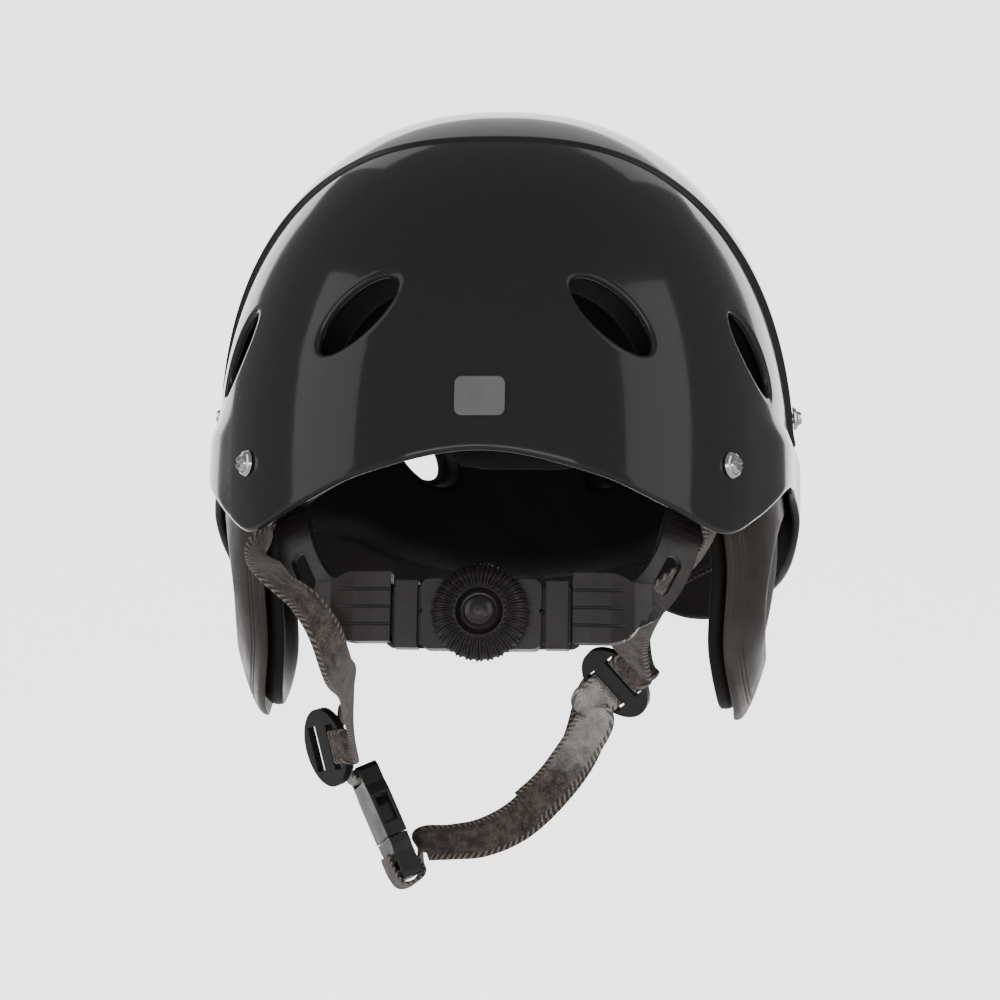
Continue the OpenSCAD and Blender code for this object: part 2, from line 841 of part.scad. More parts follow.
module rear_strap_right() {
  color(web_color)
    difference() {
      webbing(
        concat([[80.6, -85.5, 5], [80.5, -85.4, -5], [80.2, -85.2, -12], [79.2, -84.4, -18],
          [78.8, -74.3, -26.5], [72.6, -69, -35], [63, -66, -43.5], [53.4, -51, -53.4],
          [48, -27, -60.4]], into_slot(ring_r, ring_rv, ring_rn)),
        concat([[-0.57, -0.82, 0], [-0.57, -0.82, 0], [-0.57, -0.82, 0], [-0.53, -0.85, 0],
          [-0.15, -0.98, -0.1], [-0.2, -0.95, -0.1], [-0.6, -0.75, -0.1], [-0.94, -0.2, -0.1],
          [-0.92, 0.2, 0.2]], [for (k = [0:3]) -ring_rs]),
        web_w, web_t);
      screw_hole(44, -5, 1);
    }
}

module rear_strap_left() {
  color(web_color)
    difference() {
      webbing(
        concat([[-80.6, -85.5, 5], [-80.5, -85.4, -5], [-80.2, -85.2, -12], [-79.2, -84.4, -18],
          [-77.8, -77.1, -27], [-78.4, -91.5, -37], [-71, -108.8, -47.4],
          [-59.6, -111.5, -56.5], [-52, -113.6, -67.4], [-49.4, -100.6, -78.2],
          [-49.6, -72, -80.4], [-53, -40, -85.4], ring_l + 19 * ring_lv + 4.6 * ring_ln],
          into_slot(ring_l, ring_lv, ring_ln)),
        concat([[0.57, -0.82, 0], [0.57, -0.82, 0], [0.57, -0.82, 0], [0.53, -0.85, 0],
          [0.1, -0.98, -0.1], [-0.1, -0.95, -0.3], [-0.3, -0.8, -0.4], [-0.5, -0.65, -0.5],
          [-0.7, -0.5, -0.4], [-0.6, -0.4, -0.7], [-0.4, -0.2, -0.88], [-0.2, -0.1, -0.97]],
          [for (k = [0:4]) ring_ls]),
        web_w - 3, web_t);
      screw_hole(44, -5, -1);
    }
}

module front_strap_right() {
  color(web_color)
    difference() {
      webbing(
        concat([[100, 56.2, 8], [99.8, 56.2, -2], [98.6, 55.8, -9], [87.4, 47.6, -19],
          [70, 38, -29], [56.5, 28, -38.6], [47.6, 14, -52.4]],
          into_slot(ring_r, ring_rv, -ring_rn)),
        concat([[-0.29, 0.96, 0], [-0.29, 0.96, 0], [-0.29, 0.96, 0], [-0.4, 0.9, 0],
          [-0.4, 0.9, 0], [-0.4, 0.9, 0.1], [-0.7, 0.6, 0.3]], [for (k = [0:3]) -ring_rs]),
        web_w, web_t);
      screw_hole(119, 0, 1);
    }
}

module front_strap_left() {
  color(web_color)
    difference() {
      webbing(
        [[-100, 56.2, 8], [-100.1, 56.2, -2], [-98.6, 55.8, -9], [-93.6, 51.4, -19], [-85, 44, -32],
          [-74.6, 35, -45], [-65.4, 26, -57], [-61, 20, -70], [-61, 15, -82],
          ring_l + 2.6 * ring_lv - 6.2 * ring_ln - 9 * ring_ls],
        [[-0.29, -0.96, 0], [-0.29, -0.96, 0], [-0.29, -0.96, 0], [-0.2, -0.96, 0],
          [-0.2, -0.95, 0.1], [-0.2, -0.95, 0.1], [-0.2, -0.95, 0.1], [-0.1, -0.95, 0.2],
          [0, -0.9, 0.3], [0, -0.9, 0.3]],
        web_w - 2, web_t);
      screw_hole(119, 0, -1);
    }
}

// A flat oval ring with two slots, X along it, Z out of its face
module ladder_ring() {
  difference() {
    linear_extrude(3.4, center = true)
      scale([1.42, 1])
      circle(d = 21.4, $fn = 40);
    for (s = [-1, 1]) {
      translate([0, s * slot_v, 0])
        cube([17.4, 4.2, 6], center = true);
    }
  }
}

// Places children with X, Y and Z along s, v and n
module in_frame(c, s, v, n) {
  multmatrix([
    [s[0], v[0], n[0], c[0]],
    [s[1], v[1], n[1], c[1]],
    [s[2], v[2], n[2], c[2]],
    [0, 0, 0, 1]
  ])
    children();
}

module divider_right() {
  color([0.06, 0.06, 0.06])
    in_frame(ring_r, ring_rs, ring_rv, ring_rn)
    ladder_ring();
}

module divider_left() {
  color([0.06, 0.06, 0.06])
    in_frame(ring_l, ring_ls, ring_lv, ring_ln)
    ladder_ring();
}

// ---------- buckle ----------
// Frame of the buckle: Y runs down its length, X across, Z out of its face
buckle_c = [-44.8, 15, -126.7];
buckle_y = unit([0.42, 0, -0.9075]);
buckle_x = unit([-0.9075 * 0.3, 0.954, -0.42 * 0.3]);
buckle_n = cross(buckle_x, buckle_y);
module in_buckle() {
  in_frame(buckle_c, buckle_x, buckle_y, buckle_n)
    children();
}

module buckle_female() {
  color([0.07, 0.07, 0.07])
    in_buckle()
    difference() {
      translate([0, -23, -4])
        linear_extrude(8)
        polygon([
          [-9, 0], [9, 0], [11, 2], [11, 8], [buckle_w / 2, 12], [buckle_w / 2, 29],
          [-buckle_w / 2, 29], [-buckle_w / 2, 12], [-11, 8], [-11, 2]
        ]);
      // Mouth for the male half
      translate([-10.6, -11, -2.6])
        cube([21.2, 20, 5.2]);
      // Side windows for the prongs
      for (s = [-1, 1]) {
        translate([s * 12 - 3, -10, -2.6])
          cube([6, 11, 5.2]);
      }
      // Webbing slot
      translate([-8.8, -20.2, -6])
        cube([17.6, 3.4, 12]);
    }
}

module buckle_male() {
  color([0.075, 0.075, 0.075])
    in_buckle()
    difference() {
      union() {
        translate([0, 6.4, -3.8])
          linear_extrude(7.6)
          polygon([
            [-12, 0], [12, 0], [12, 3.2], [10.8, 6], [10.8, 14.4], [9.4, 16.2],
            [-9.4, 16.2], [-10.8, 14.4], [-10.8, 6], [-12, 3.2]
          ]);
        // Middle guide
        translate([-2.4, -9, -2])
          cube([4.8, 16, 4]);
      }
      translate([-8.8, 15.6, -6])
        cube([17.6, 3.4, 12]);
    }
}

module prong() {
  union() {
    linear_extrude(4.4, center = true)
      polygon([
        [5.8, 4.6], [8, 4.6], [9.4, 1.6], [10.2, 0.6], [10.2, -6], [8, -9.4], [6.6, -9.4],
        [7.4, -5]
      ]);
    // Round root that the prong bends about
    translate([6.9, 4.6, 0])
      cylinder(d = 2.8, h = 4.4, center = true);
  }
}

module buckle_prong_right() {
  color([0.08, 0.08, 0.08])
    in_buckle()
    prong();
}

module buckle_prong_left() {
  color([0.08, 0.08, 0.08])
    in_buckle()
    mirror([1, 0, 0])
    prong();
}

module lower_strap_left() {
  color(web_color)
    webbing(
      [ring_l - 5 * ring_ls - 2.8 * ring_ln, ring_l + ring_ls - 3.2 * ring_ln,
        ring_l + 6 * ring_ls - 5.4 * ring_ln, buckle_c - 24.4 * buckle_y + 5 * buckle_n,
        buckle_c - 21.4 * buckle_y + 5.6 * buckle_n, buckle_c - 19.2 * buckle_y + 4.6 * buckle_n,
        buckle_c - 18.4 * buckle_y + 0.5 * buckle_n],
      [ring_lv, ring_lv, unit(2 * ring_lv - buckle_x), -buckle_x, -buckle_x, -buckle_x,
        -buckle_x],
      web_w - 2, web_t);
}

module chin_strap_end() {
  color(web_color)
    webbing(
      [buckle_c + 12 * buckle_y + 5.4 * buckle_n, buckle_c + 19 * buckle_y + 5.4 * buckle_n,
        buckle_c + 24.2 * buckle_y + 3.6 * buckle_n, buckle_c + 24.6 * buckle_y - 2.4 * buckle_n,
        buckle_c + 21 * buckle_y - 6.6 * buckle_n, [-31.1, 15.5, -134.9], [-19.7, 16.5, -133.5]],
      [buckle_x, buckle_x, buckle_x, buckle_x, unit(buckle_x + [0.1, 0, 0.3]),
        [-0.1, 0.56, 0.82], [-0.1, 0.53, 0.84]],
      web_w, web_t);
}

module chin_strap() {
  color(web_color)
    webbing(
      concat([[-18.6, 16.55, -133.3], [-7.1, 16.5, -131.5], [6.6, 16, -124.5],
        [19.9, 15, -111.2], [29.6, 14, -96.8]], into_slot(ring_r, -ring_rv, -ring_rn)),
      concat([[-0.1, 0.53, 0.84], [-0.2, 0.35, 0.92], [-0.36, 0.16, 0.92],
        [-0.63, 0.02, 0.78], [-0.75, 0.1, 0.6]], [for (k = [0:3]) -ring_rs]),
      web_w, web_t);
}

module strap_tail() {
  color(web_color)
    webbing(
      concat([[9.6, 12.2, -120.3], [19.6, 10.6, -110.9], [29.6, 8.8, -97],
        [35.2, 6.2, -87]], into_slot(ring_r, -ring_rv, ring_rn)),
      concat([[-0.6, 0.1, 0.78], [-0.7, 0.1, 0.7], [-0.8, 0.1, 0.6], [-0.8, 0.1, 0.55]],
        [for (k = [0:3]) -ring_rs]),
      web_w - 0.6, web_t);
}

outer_shell();
foam_liner();
front_pad();
side_pad_right();
side_pad_left();
rear_pad();
crown_pad();
strap_screws();
screw_washers();
strap_nuts();
size_label();
ear_guard_right();
ear_guard_left();
ear_mesh_right();
ear_mesh_left();
ear_pad_right();
ear_pad_left();
anchor_bracket_right();
anchor_bracket_left();
pivot_pins();
cradle_arm_right();
cradle_arm_left();
dial_housing();
belt_keepers();
dial_back_plate();
nape_pad();
dial_knob();
dial_cap();
dial_pinion();
click_spring();
belt_right();
belt_left();
rear_strap_right();
rear_strap_left();
front_strap_right();
front_strap_left();
divider_right();
divider_left();
buckle_female();
buckle_male();
buckle_prong_right();
buckle_prong_left();
lower_strap_left();
chin_strap_end();
chin_strap();
strap_tail();
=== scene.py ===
import bpy
import json
import math
import numpy as np
from mathutils import Matrix, Vector
from mathutils.geometry import delaunay_2d_cdt


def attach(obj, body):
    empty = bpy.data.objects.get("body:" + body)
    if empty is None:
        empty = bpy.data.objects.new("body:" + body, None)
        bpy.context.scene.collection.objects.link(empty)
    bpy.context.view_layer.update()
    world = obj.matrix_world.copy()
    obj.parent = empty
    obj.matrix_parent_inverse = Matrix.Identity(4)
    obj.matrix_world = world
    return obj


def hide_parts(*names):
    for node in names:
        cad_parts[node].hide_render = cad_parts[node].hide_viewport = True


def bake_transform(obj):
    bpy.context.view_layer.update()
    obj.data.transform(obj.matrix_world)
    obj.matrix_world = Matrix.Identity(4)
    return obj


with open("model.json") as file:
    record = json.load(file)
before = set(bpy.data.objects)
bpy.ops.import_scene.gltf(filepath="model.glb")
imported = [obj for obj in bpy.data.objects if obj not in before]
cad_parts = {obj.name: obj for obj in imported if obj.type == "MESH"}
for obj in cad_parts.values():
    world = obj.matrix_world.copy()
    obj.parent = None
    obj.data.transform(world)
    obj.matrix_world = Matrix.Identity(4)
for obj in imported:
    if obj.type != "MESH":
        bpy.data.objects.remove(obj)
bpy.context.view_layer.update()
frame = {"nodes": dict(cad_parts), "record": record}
NODES = frame["nodes"]
MM = 0.001

# ---------- numbers shared with the part, in millimetres and degrees ----------
# The shell is a superellipse in plan and in height: half width, rear, front, height, power.
HALF_W, REAR, FRONT, HIGH, EXP = 110.5, 132.0, 136.0, 142.0, 2.25
# Drop of the rear panel at the crease, flare over the ears, wall of the shell
STEP, FLARE, WALL = 2.5, 2.5, 3.0
# Angle from the rear and height of the lower edge, of the shell and of the liner
EDGE = [(0, -5.5), (18, -12.5), (30, -21), (43.5, -27.6), (54, -19.5), (67, -6), (75, -2),
        (84, -3), (91, -9), (98, -18), (106, -25), (118, -31), (132, -37), (146, -36),
        (160, -26), (180, -22)]
FOAM = [(0, 5.5), (18, -1.5), (30, -10), (43.5, -16.5), (54, -9), (67, 9), (75, 16),
        (84, 15), (91, 9), (98, 1), (108, -4), (125, 0), (142, 2), (155, -5), (180, -11)]
# Angle and height of each vent on one side, then length, width and slant of them all
VENTS = [(20.8, 43), (54, 39), (105, 39), (157, 38)]
VENT_LEN, VENT_W, VENT_TILT = 37.0, 17.0, 47.0


def ease(u):
    """Goes smoothly from 0 to 1 as u does."""
    c = np.clip(u, 0, 1)
    return c * c * (3 - 2 * c)


def curve(tab, t):
    """A smooth curve through the (x, y) points of tab, at t."""
    x = np.array([p[0] for p in tab], float)
    y = np.array([p[1] for p in tab], float)
    m = np.zeros(len(x))
    m[1:-1] = (y[2:] - y[:-2]) / (x[2:] - x[:-2])
    t = np.clip(np.asarray(t, float), x[0], x[-1])
    i = np.clip(np.searchsorted(x, t, side="right") - 1, 0, len(x) - 2)
    h = x[i + 1] - x[i]
    u = (t - x[i]) / h
    v = 1 - u
    return (y[i] * (1 + 2 * u) * v * v + m[i] * h * u * v * v
            + y[i + 1] * u * u * (3 - 2 * u) - m[i + 1] * h * u * u * v)


def fold(th):
    """The angle from the rear, 0 to 180 on either side."""
    a = np.mod(th, 360)
    return np.where(a > 180, 360 - a, a)


def crease_z(f):
    """Height of the crease line."""
    f = np.asarray(f, float)
    return np.where(f < 88, 113 - 46 * np.power(f / 70, 3.2), 16.6 + (f - 88) * 0.35)


def flare_at(f, z):
    """How far the shell stands out over the ear."""
    return FLARE * ease((f - 52) / 18) * (1 - ease((f - 112) / 20)) * ease((22 - z) / 12)


def plan_r(th, d):
    """Plan radius of the form, offset by d."""
    r = np.radians(th)
    b = np.where(np.cos(r) > 0, REAR + d, FRONT + d)
    s = np.power(np.abs(np.sin(r)) / (HALF_W + d), EXP)
    c = np.power(np.abs(np.cos(r)) / b, EXP)
    return np.power(s + c, -1 / EXP)


def rise_r(z, h):
    """Share of the plan radius that is left at height z."""
    q = np.clip(np.asarray(z, float) / h, -1, 1)
    up = np.power(np.maximum(0, 1 - np.power(np.abs(q), EXP)), 1 / EXP)
    return np.where(q >= 0, up, 1 - 0.35 * q * q)


def form_pt(th, z, d, e):
    """A point on the form offset by d, with e added to the plan radius."""
    r = (plan_r(th, d) + e) * rise_r(z, HIGH + d)
    t = np.radians(th)
    return np.stack([r * np.sin(t), -r * np.cos(t), z * np.ones_like(r)], -1)


def grad_at(p):
    """Outward direction of the form at p."""
    b = np.where(p[..., 1] < 0, REAR, FRONT)
    e = EXP - 1
    g = np.stack([np.sign(p[..., 0]) * np.power(np.abs(p[..., 0]) / HALF_W, e) / HALF_W,
                  np.sign(p[..., 1]) * np.power(np.abs(p[..., 1]) / b, e) / b,
                  np.where(p[..., 2] > 0, np.power(np.abs(p[..., 2]) / HIGH, e) / HIGH, 0)], -1)
    return g / np.linalg.norm(g, axis=-1, keepdims=True)


def site(th, z):
    """A place on the form: origin, sideways, upward and outward directions."""
    p = form_pt(np.array(float(th)), np.array(float(z)), 0, 0)
    n = grad_at(p)
    h = np.cross([0, 0, 1], n)
    h = h / np.linalg.norm(h)
    return p, h, np.cross(n, h), n


# ---------- mesh helpers ----------
def add_mesh(name, verts, faces, mat, body="helmet", sharp=None):
    """A smooth shaded mesh from points in millimetres, riding on a body."""
    me = bpy.data.meshes.new(name)
    me.from_pydata([tuple(float(c) * MM for c in v) for v in verts], [],
                   [tuple(int(i) for i in f) for f in faces])
    me.validate()
    me.update()
    for p in me.polygons:
        p.use_smooth = True
    if sharp is not None:
        me.set_sharp_from_angle(angle=math.radians(sharp))
    ob = bpy.data.objects.new(name, me)
    bpy.context.scene.collection.objects.link(ob)
    me.materials.append(mat)
    if body:
        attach(ob, body)
    return ob


def tube_faces(m, n):
    """Faces between m rings of n points each."""
    f = []
    for j in range(m - 1):
        for i in range(n):
            a, b = j * n + i, j * n + (i + 1) % n
            f.append((a + n, b + n, b, a))
    return f


def winding(points, loop):
    """How many times a closed loop goes round each point."""
    d = loop[None] - points[:, None]
    ang = np.arctan2(d[..., 1], d[..., 0])
    step = (np.roll(ang, -1, 1) - ang + math.pi) % (2 * math.pi) - math.pi
    return np.abs(np.round(step.sum(1) / (2 * math.pi)))


def stitch(far, near, far_xy, near_xy):
    """Triangles that fill the strip between an outer loop and the ring inside it."""
    xy = np.concatenate([far_xy, near_xy])
    ids = list(far) + list(near)
    a, b = len(far), len(near)
    edges = [(k, (k + 1) % a) for k in range(a)]
    edges += [(a + k, a + (k + 1) % b) for k in range(b)]
    out = delaunay_2d_cdt([Vector(p) for p in xy], edges, [], 0, 1e-7)
    pts = np.array([tuple(p) for p in out[0]])
    src = [o[0] if o else int(np.argmin(((xy - p) ** 2).sum(1)))
           for o, p in zip(out[3], pts)]
    tri = np.array(out[2])
    mid = pts[tri].mean(1)
    use = (winding(mid, far_xy) > 0) & (winding(mid, near_xy) == 0)
    tris = []
    for t in tri[use]:
        (x0, y0), (x1, y1), (x2, y2) = pts[t]
        way = (x1 - x0) * (y2 - y0) - (x2 - x0) * (y1 - y0)
        t = t if way > 0 else t[::-1]
        tris.append(tuple(ids[src[q]] for q in t))
    return tris


def rows_for(th, zr, zs, h, low, band, high, half):
    """Heights of the grid rows, from the edge through the crease band to near the top."""
    zs = np.maximum(zs, zr + 2.2 * half)
    u = np.linspace(0, 1, low)[:, None]
    a = zr + (zs - half - zr) * u
    b = zs - half + 2 * half * np.linspace(0, 1, band + 2)[1:-1, None]
    k = (zs + half) / h
    p = np.degrees(np.arcsin(np.sign(k) * np.power(np.clip(np.abs(k), 0, 1), EXP / 2)))
    q = np.sin(np.radians(p + (90 - p) * np.linspace(0, 0.985, high)[:, None]))
    c = h * np.sign(q) * np.power(np.abs(q), 2 / EXP)
    return np.concatenate([a, b, c], 0)


# Sizes of the rings round a vent, where 1 is the outline of its hole
LIP_RING, GRID_GAP, GRID_FAR = 1.12, 1.3, 2.6
# Steps in a lip's quarter turn, and points round it
LIP_TURN = np.radians([22, 45, 68, 90])
LIP_POINTS = 96
# Points of the shell further than this from a vent's plane are on the other side
VENT_REACH = 25


def vent_frames(vents):
    """Origin, two directions in the plane, outward direction, two half widths, angle and
    height of each vent, on both sides."""
    holes = []
    for angle, vz, length, width in vents:
        for side in (1, -1):
            vth = angle if side > 0 else 360 - angle
            o, h, v, nn = site(vth, vz)
            t = math.radians(VENT_TILT) * side
            ax = h * math.cos(t) + v * math.sin(t)
            ay = -h * math.sin(t) + v * math.cos(t)
            holes.append((o, ax, ay, nn, width / 2, length / 2, vth, vz))
    return holes


def in_frame(X, hole):
    """Points in a vent's own frame, where its outline is the circle of radius 1."""
    o, ax, ay, nn, a, b, _, _ = hole
    d = X - o
    return (d @ ax) / a, (d @ ay) / b, d @ nn


def near_hole(X, hole, reach):
    x, y, w = in_frame(X, hole)
    return (np.hypot(x, y) < reach) & (np.abs(w) < VENT_REACH)


def ring_on(surf, hole, far, ang):
    """The ring of points on a surface that lie far from the middle of a vent."""
    tgt = np.stack([np.cos(ang), np.sin(ang)], -1) * far
    th = np.full(len(ang), float(hole[6]))
    z = np.full(len(ang), float(hole[7]))
    step = 0.05
    for _ in range(9):
        here, right, above = (np.stack(in_frame(surf(*at), hole)[:2], -1)
                              for at in ((th, z), (th + step, z), (th, z + step)))
        J = np.stack([(right - here) / step, (above - here) / step], -1)
        d = np.linalg.solve(J, (tgt - here)[..., None])[..., 0]
        th, z = th + d[:, 0], z + d[:, 1]
    return surf(th, z)


def walk_round(cells, all_cells, n):
    """Grid points round a patch of left-out cells, in order."""
    rows = len(all_cells)
    follow = {}
    for j, i in zip(*np.nonzero(cells)):
        i1 = (i + 1) % n
        ring = (j * n + i, j * n + i1, (j + 1) * n + i1, (j + 1) * n + i)
        for e, (dj, di) in enumerate(((-1, 0), (0, 1), (1, 0), (0, -1))):
            cj, ci = j + dj, (i + di) % n
            if not (0 <= cj < rows and all_cells[cj, ci]):
                follow[ring[e]] = ring[(e + 1) % 4]
    first = next(iter(follow))
    walk = [first]
    while follow[walk[-1]] != first:
        walk.append(follow[walk[-1]])
    return np.array(walk)


def lip_rings(outer, inner, hole, lips, ang):
    """Rings from the outer surface, round the lip of a vent, to the inner surface."""
    nn = hole[3]
    lo, li = lips
    RP, RQ = ring_on(outer, hole, 1.0, ang), ring_on(inner, hole, 1.0, ang)
    inward = RP.mean(0) - RP
    inward -= (inward @ nn)[:, None] * nn
    # the lip turns in square to the oval
    sq = np.cross(np.roll(RP, -1, 0) - np.roll(RP, 1, 0), nn)
    sq /= np.linalg.norm(sq, axis=1, keepdims=True)
    sq *= np.sign((sq * inward).sum(1, keepdims=True))
    head = [RP + sq * lo * math.sin(f) - nn * lo * (1 - math.cos(f)) for f in LIP_TURN]
    tail = [RQ + sq * lo * math.sin(f) + nn * li * (1 - math.cos(f)) for f in LIP_TURN]
    return ([ring_on(outer, hole, LIP_RING, ang), RP] + head + tail[::-1]
            + [RQ, ring_on(inner, hole, LIP_RING, ang)])


def skin(name, outer, inner, zrows, n, vents, lips, mat, cut=None, edge=8):
    """A wall between two surfaces, with oval holes that have smooth round lips.
    outer and inner take (th, z) and give points. lips is (outer radius, inner radius)."""
    th = np.arange(n) * 360.0 / n
    TH = np.broadcast_to(th, zrows.shape)
    P, Q = outer(TH, zrows), inner(TH, zrows)
    m = len(zrows)
    k = m * n
    verts = [P.reshape(-1, 3), Q.reshape(-1, 3)]
    count = 2 * k
    keep = np.ones((m - 1, n), bool)
    faces = []
    holes = vent_frames(vents)
    for hole in holes:
        inside = near_hole(P, hole, GRID_GAP) | near_hole(Q, hole, GRID_GAP)
        bad = inside[:-1] | inside[1:]
        keep &= ~(bad | np.roll(bad, -1, 1))
    hole_cells = ~keep
    if cut is not None:
        cz = (zrows[:-1] + zrows[1:]) / 2
        keep &= ~cut(np.broadcast_to(th + 180.0 / n, cz.shape), cz)
    for j in range(m - 1):
        for i in range(n):
            if keep[j, i]:
                a, b = j * n + i, j * n + (i + 1) % n
                faces.append((a, b, b + n, a + n))
                faces.append((k + a, k + a + n, k + b + n, k + b))
    # walls round a cut-out
    if cut is not None:
        gone = ~keep & ~hole_cells
        for j, i in zip(*np.nonzero(gone)):
            a, b = j * n + i, j * n + (i + 1) % n
            for (jj, ii), (p, q) in (((j - 1, i), (b, a)), ((j + 1, i), (a + n, b + n)),
                                     ((j, (i - 1) % n), (a, a + n)),
                                     ((j, (i + 1) % n), (b + n, b))):
                if 0 <= jj < m - 1 and keep[jj, ii]:
                    faces.append((p, q, k + q, k + p))
    # lips of the holes, and the strips that join them to the grid
    res = LIP_POINTS
    ang = np.linspace(0, 2 * math.pi, res, endpoint=False)
    flat = np.concatenate(verts)
    for hole in holes:
        near = near_hole(P, hole, GRID_FAR)[:-1] & hole_cells
        border = walk_round(near, hole_cells, n)
        chain = lip_rings(outer, inner, hole, lips, ang)
        verts += chain
        first = np.arange(res) + count
        last = first + res * (len(chain) - 1)
        for loop, ids, ring, way in ((border, first, chain[0], 1),
                                     (border + k, last, chain[-1], -1)):
            tris = stitch(loop, ids, np.stack(in_frame(flat[loop], hole)[:2], -1),
                          np.stack(in_frame(ring, hole)[:2], -1))
            faces += [t[::way] for t in tris]
        for c in range(len(chain) - 1):
            for i in range(res):
                a, b = count + c * res + i, count + c * res + (i + 1) % res
                faces.append((a, b, b + res, a + res))
        count += res * len(chain)
    # crown caps
    verts.append(np.array([P[-1].mean(0), Q[-1].mean(0)]))
    for i in range(n):
        a, b = (m - 1) * n + i, (m - 1) * n + (i + 1) % n
        faces.append((a, b, count))
        faces.append((k + b, k + a, count + 1))
    count += 2
    # rolled edge
    down = P[0] - P[2]
    down /= np.linalg.norm(down, axis=1, keepdims=True)
    mid, half = (P[0] + Q[0]) / 2, (P[0] - Q[0]) / 2
    size = np.linalg.norm(half, axis=1, keepdims=True)
    prev = np.arange(n)
    for s in range(1, edge):
        f = math.pi * s / edge
        ring = mid + half * math.cos(f) + down * size * math.sin(f) * 0.9
        verts.append(ring)
        cur = np.arange(n) + count
        count += n
        for i in range(n):
            j = (i + 1) % n
            if keep[0, i]:
                faces.append((prev[j], prev[i], cur[i], cur[j]))
        prev = cur
    cur = np.arange(n) + k
    for i in range(n):
        j = (i + 1) % n
        if keep[0, i]:
            faces.append((prev[j], prev[i], cur[i], cur[j]))
    V = np.concatenate(verts)
    used = np.unique(np.concatenate([np.array(f) for f in faces]))
    new = np.full(len(V), -1)
    new[used] = np.arange(len(used))
    return add_mesh(name, V[used], [tuple(new[list(f)]) for f in faces], mat)


# ---------- materials ----------
class Look:
    """A Principled material with short ways to add nodes."""

    def __init__(self, name, color, rough, metal=0.0, **more):
        self.m = bpy.data.materials.new(name)
        self.m.use_nodes = True
        self.t = self.m.node_tree
        self.p = self.t.nodes["Principled BSDF"]
        self.set("Base Color", (*color, 1))
        self.set("Roughness", rough)
        self.set("Metallic", metal)
        for k, v in more.items():
            self.set(k.replace("_", " "), v)

    def set(self, name, value):
        self.p.inputs[name].default_value = value

    def add(self, kind, links=(), **values):
        n = self.t.nodes.new(kind)
        for k, v in values.items():
            if k in n.inputs:
                n.inputs[k].default_value = v
            elif k.replace("_", " ") in n.inputs:
                n.inputs[k.replace("_", " ")].default_value = v
            else:
                setattr(n, k, v)
        for src, dst in links:
            self.t.links.new(src, n.inputs[dst])
        return n

    def link(self, src, name):
        self.t.links.new(src, self.p.inputs[name])

    def coords(self, kind="Object"):
        return self.add("ShaderNodeTexCoord").outputs[kind]

    def noise(self, scale, detail=3.0, rough=0.5):
        n = self.add("ShaderNodeTexNoise", [(self.coords(), "Vector")], Scale=scale,
                     Detail=detail, Roughness=rough)
        return n.outputs["Fac"]

    def ramp(self, src, stops):
        n = self.add("ShaderNodeValToRGB", [(src, "Fac")])
        e = n.color_ramp.elements
        while len(e) < len(stops):
            e.new(0.5)
        for el, (pos, col) in zip(e, stops):
            el.position = pos
            el.color = (*col, 1) if len(col) == 3 else col
        return n.outputs["Color"]

    def span(self, src, lo, hi, a=0.0, b=1.0):
        n = self.add("ShaderNodeMapRange", [(src, "Value")])
        n.inputs["From Min"].default_value = a
        n.inputs["From Max"].default_value = b
        n.inputs["To Min"].default_value = lo
        n.inputs["To Max"].default_value = hi
        return n.outputs["Result"]

    def math(self, op, a, b=None):
        n = self.add("ShaderNodeMath", operation=op)
        for i, v in enumerate((a, b)):
            if v is None:
                continue
            if isinstance(v, (int, float)):
                n.inputs[i].default_value = v
            else:
                self.t.links.new(v, n.inputs[i])
        return n.outputs[0]

    def mix(self, fac, a, b):
        n = self.add("ShaderNodeMix", data_type="RGBA")
        for v, i in ((fac, 0), (a, 6), (b, 7)):
            if isinstance(v, (tuple, list)):
                n.inputs[i].default_value = (*v, 1) if len(v) == 3 else v
            elif isinstance(v, (int, float)):
                n.inputs[i].default_value = v
            else:
                self.t.links.new(v, n.inputs[i])
        return n.outputs[2]

    def rounded(self, radius):
        """Softens the edges of plain solids in the shading."""
        n = self.add("ShaderNodeBevel", samples=6, Radius=radius)
        self.link(n.outputs["Normal"], "Normal")

    def bump(self, height, strength, distance=0.0005):
        n = self.add("ShaderNodeBump", [(height, "Height")], Strength=strength,
                     Distance=distance)
        old = self.p.inputs["Normal"].links
        if old:
            self.t.links.new(old[0].from_socket, n.inputs["Normal"])
        self.link(n.outputs["Normal"], "Normal")


def shell_look():
    k = Look("shell_gloss", (0.026, 0.026, 0.0275), 0.12, Coat_Weight=0.3,
             Coat_Roughness=0.03, Coat_IOR=1.38)
    k.set("Specular IOR Level", 0.22)
    smear = k.noise(9, 4, rough=0.6)
    k.link(k.span(smear, 0.09, 0.2, 0.35, 0.75), "Roughness")
    k.bump(k.noise(420, 1.0), 0.035, 0.0004)
    fleck = k.noise(2600, 2)
    k.link(k.mix(k.span(fleck, 0, 0.5, 0.55, 0.8), (0.03, 0.03, 0.0315),
                 (0.048, 0.048, 0.05)), "Base Color")
    return k.m


def foam_look(name="foam_black", color=(0.0135, 0.0135, 0.014), rough=0.55):
    k = Look(name, color, rough)
    k.set("Specular IOR Level", 0.2)
    v = k.add("ShaderNodeTexVoronoi", [(k.coords(), "Vector")], Scale=1500.0)
    k.bump(v.outputs["Distance"], 0.12, 0.0003)
    k.bump(k.noise(60, 3), 0.1, 0.002)
    k.link(k.span(k.noise(30, 4), rough - 0.12, rough + 0.14, 0.3, 0.7), "Roughness")
    return k.m


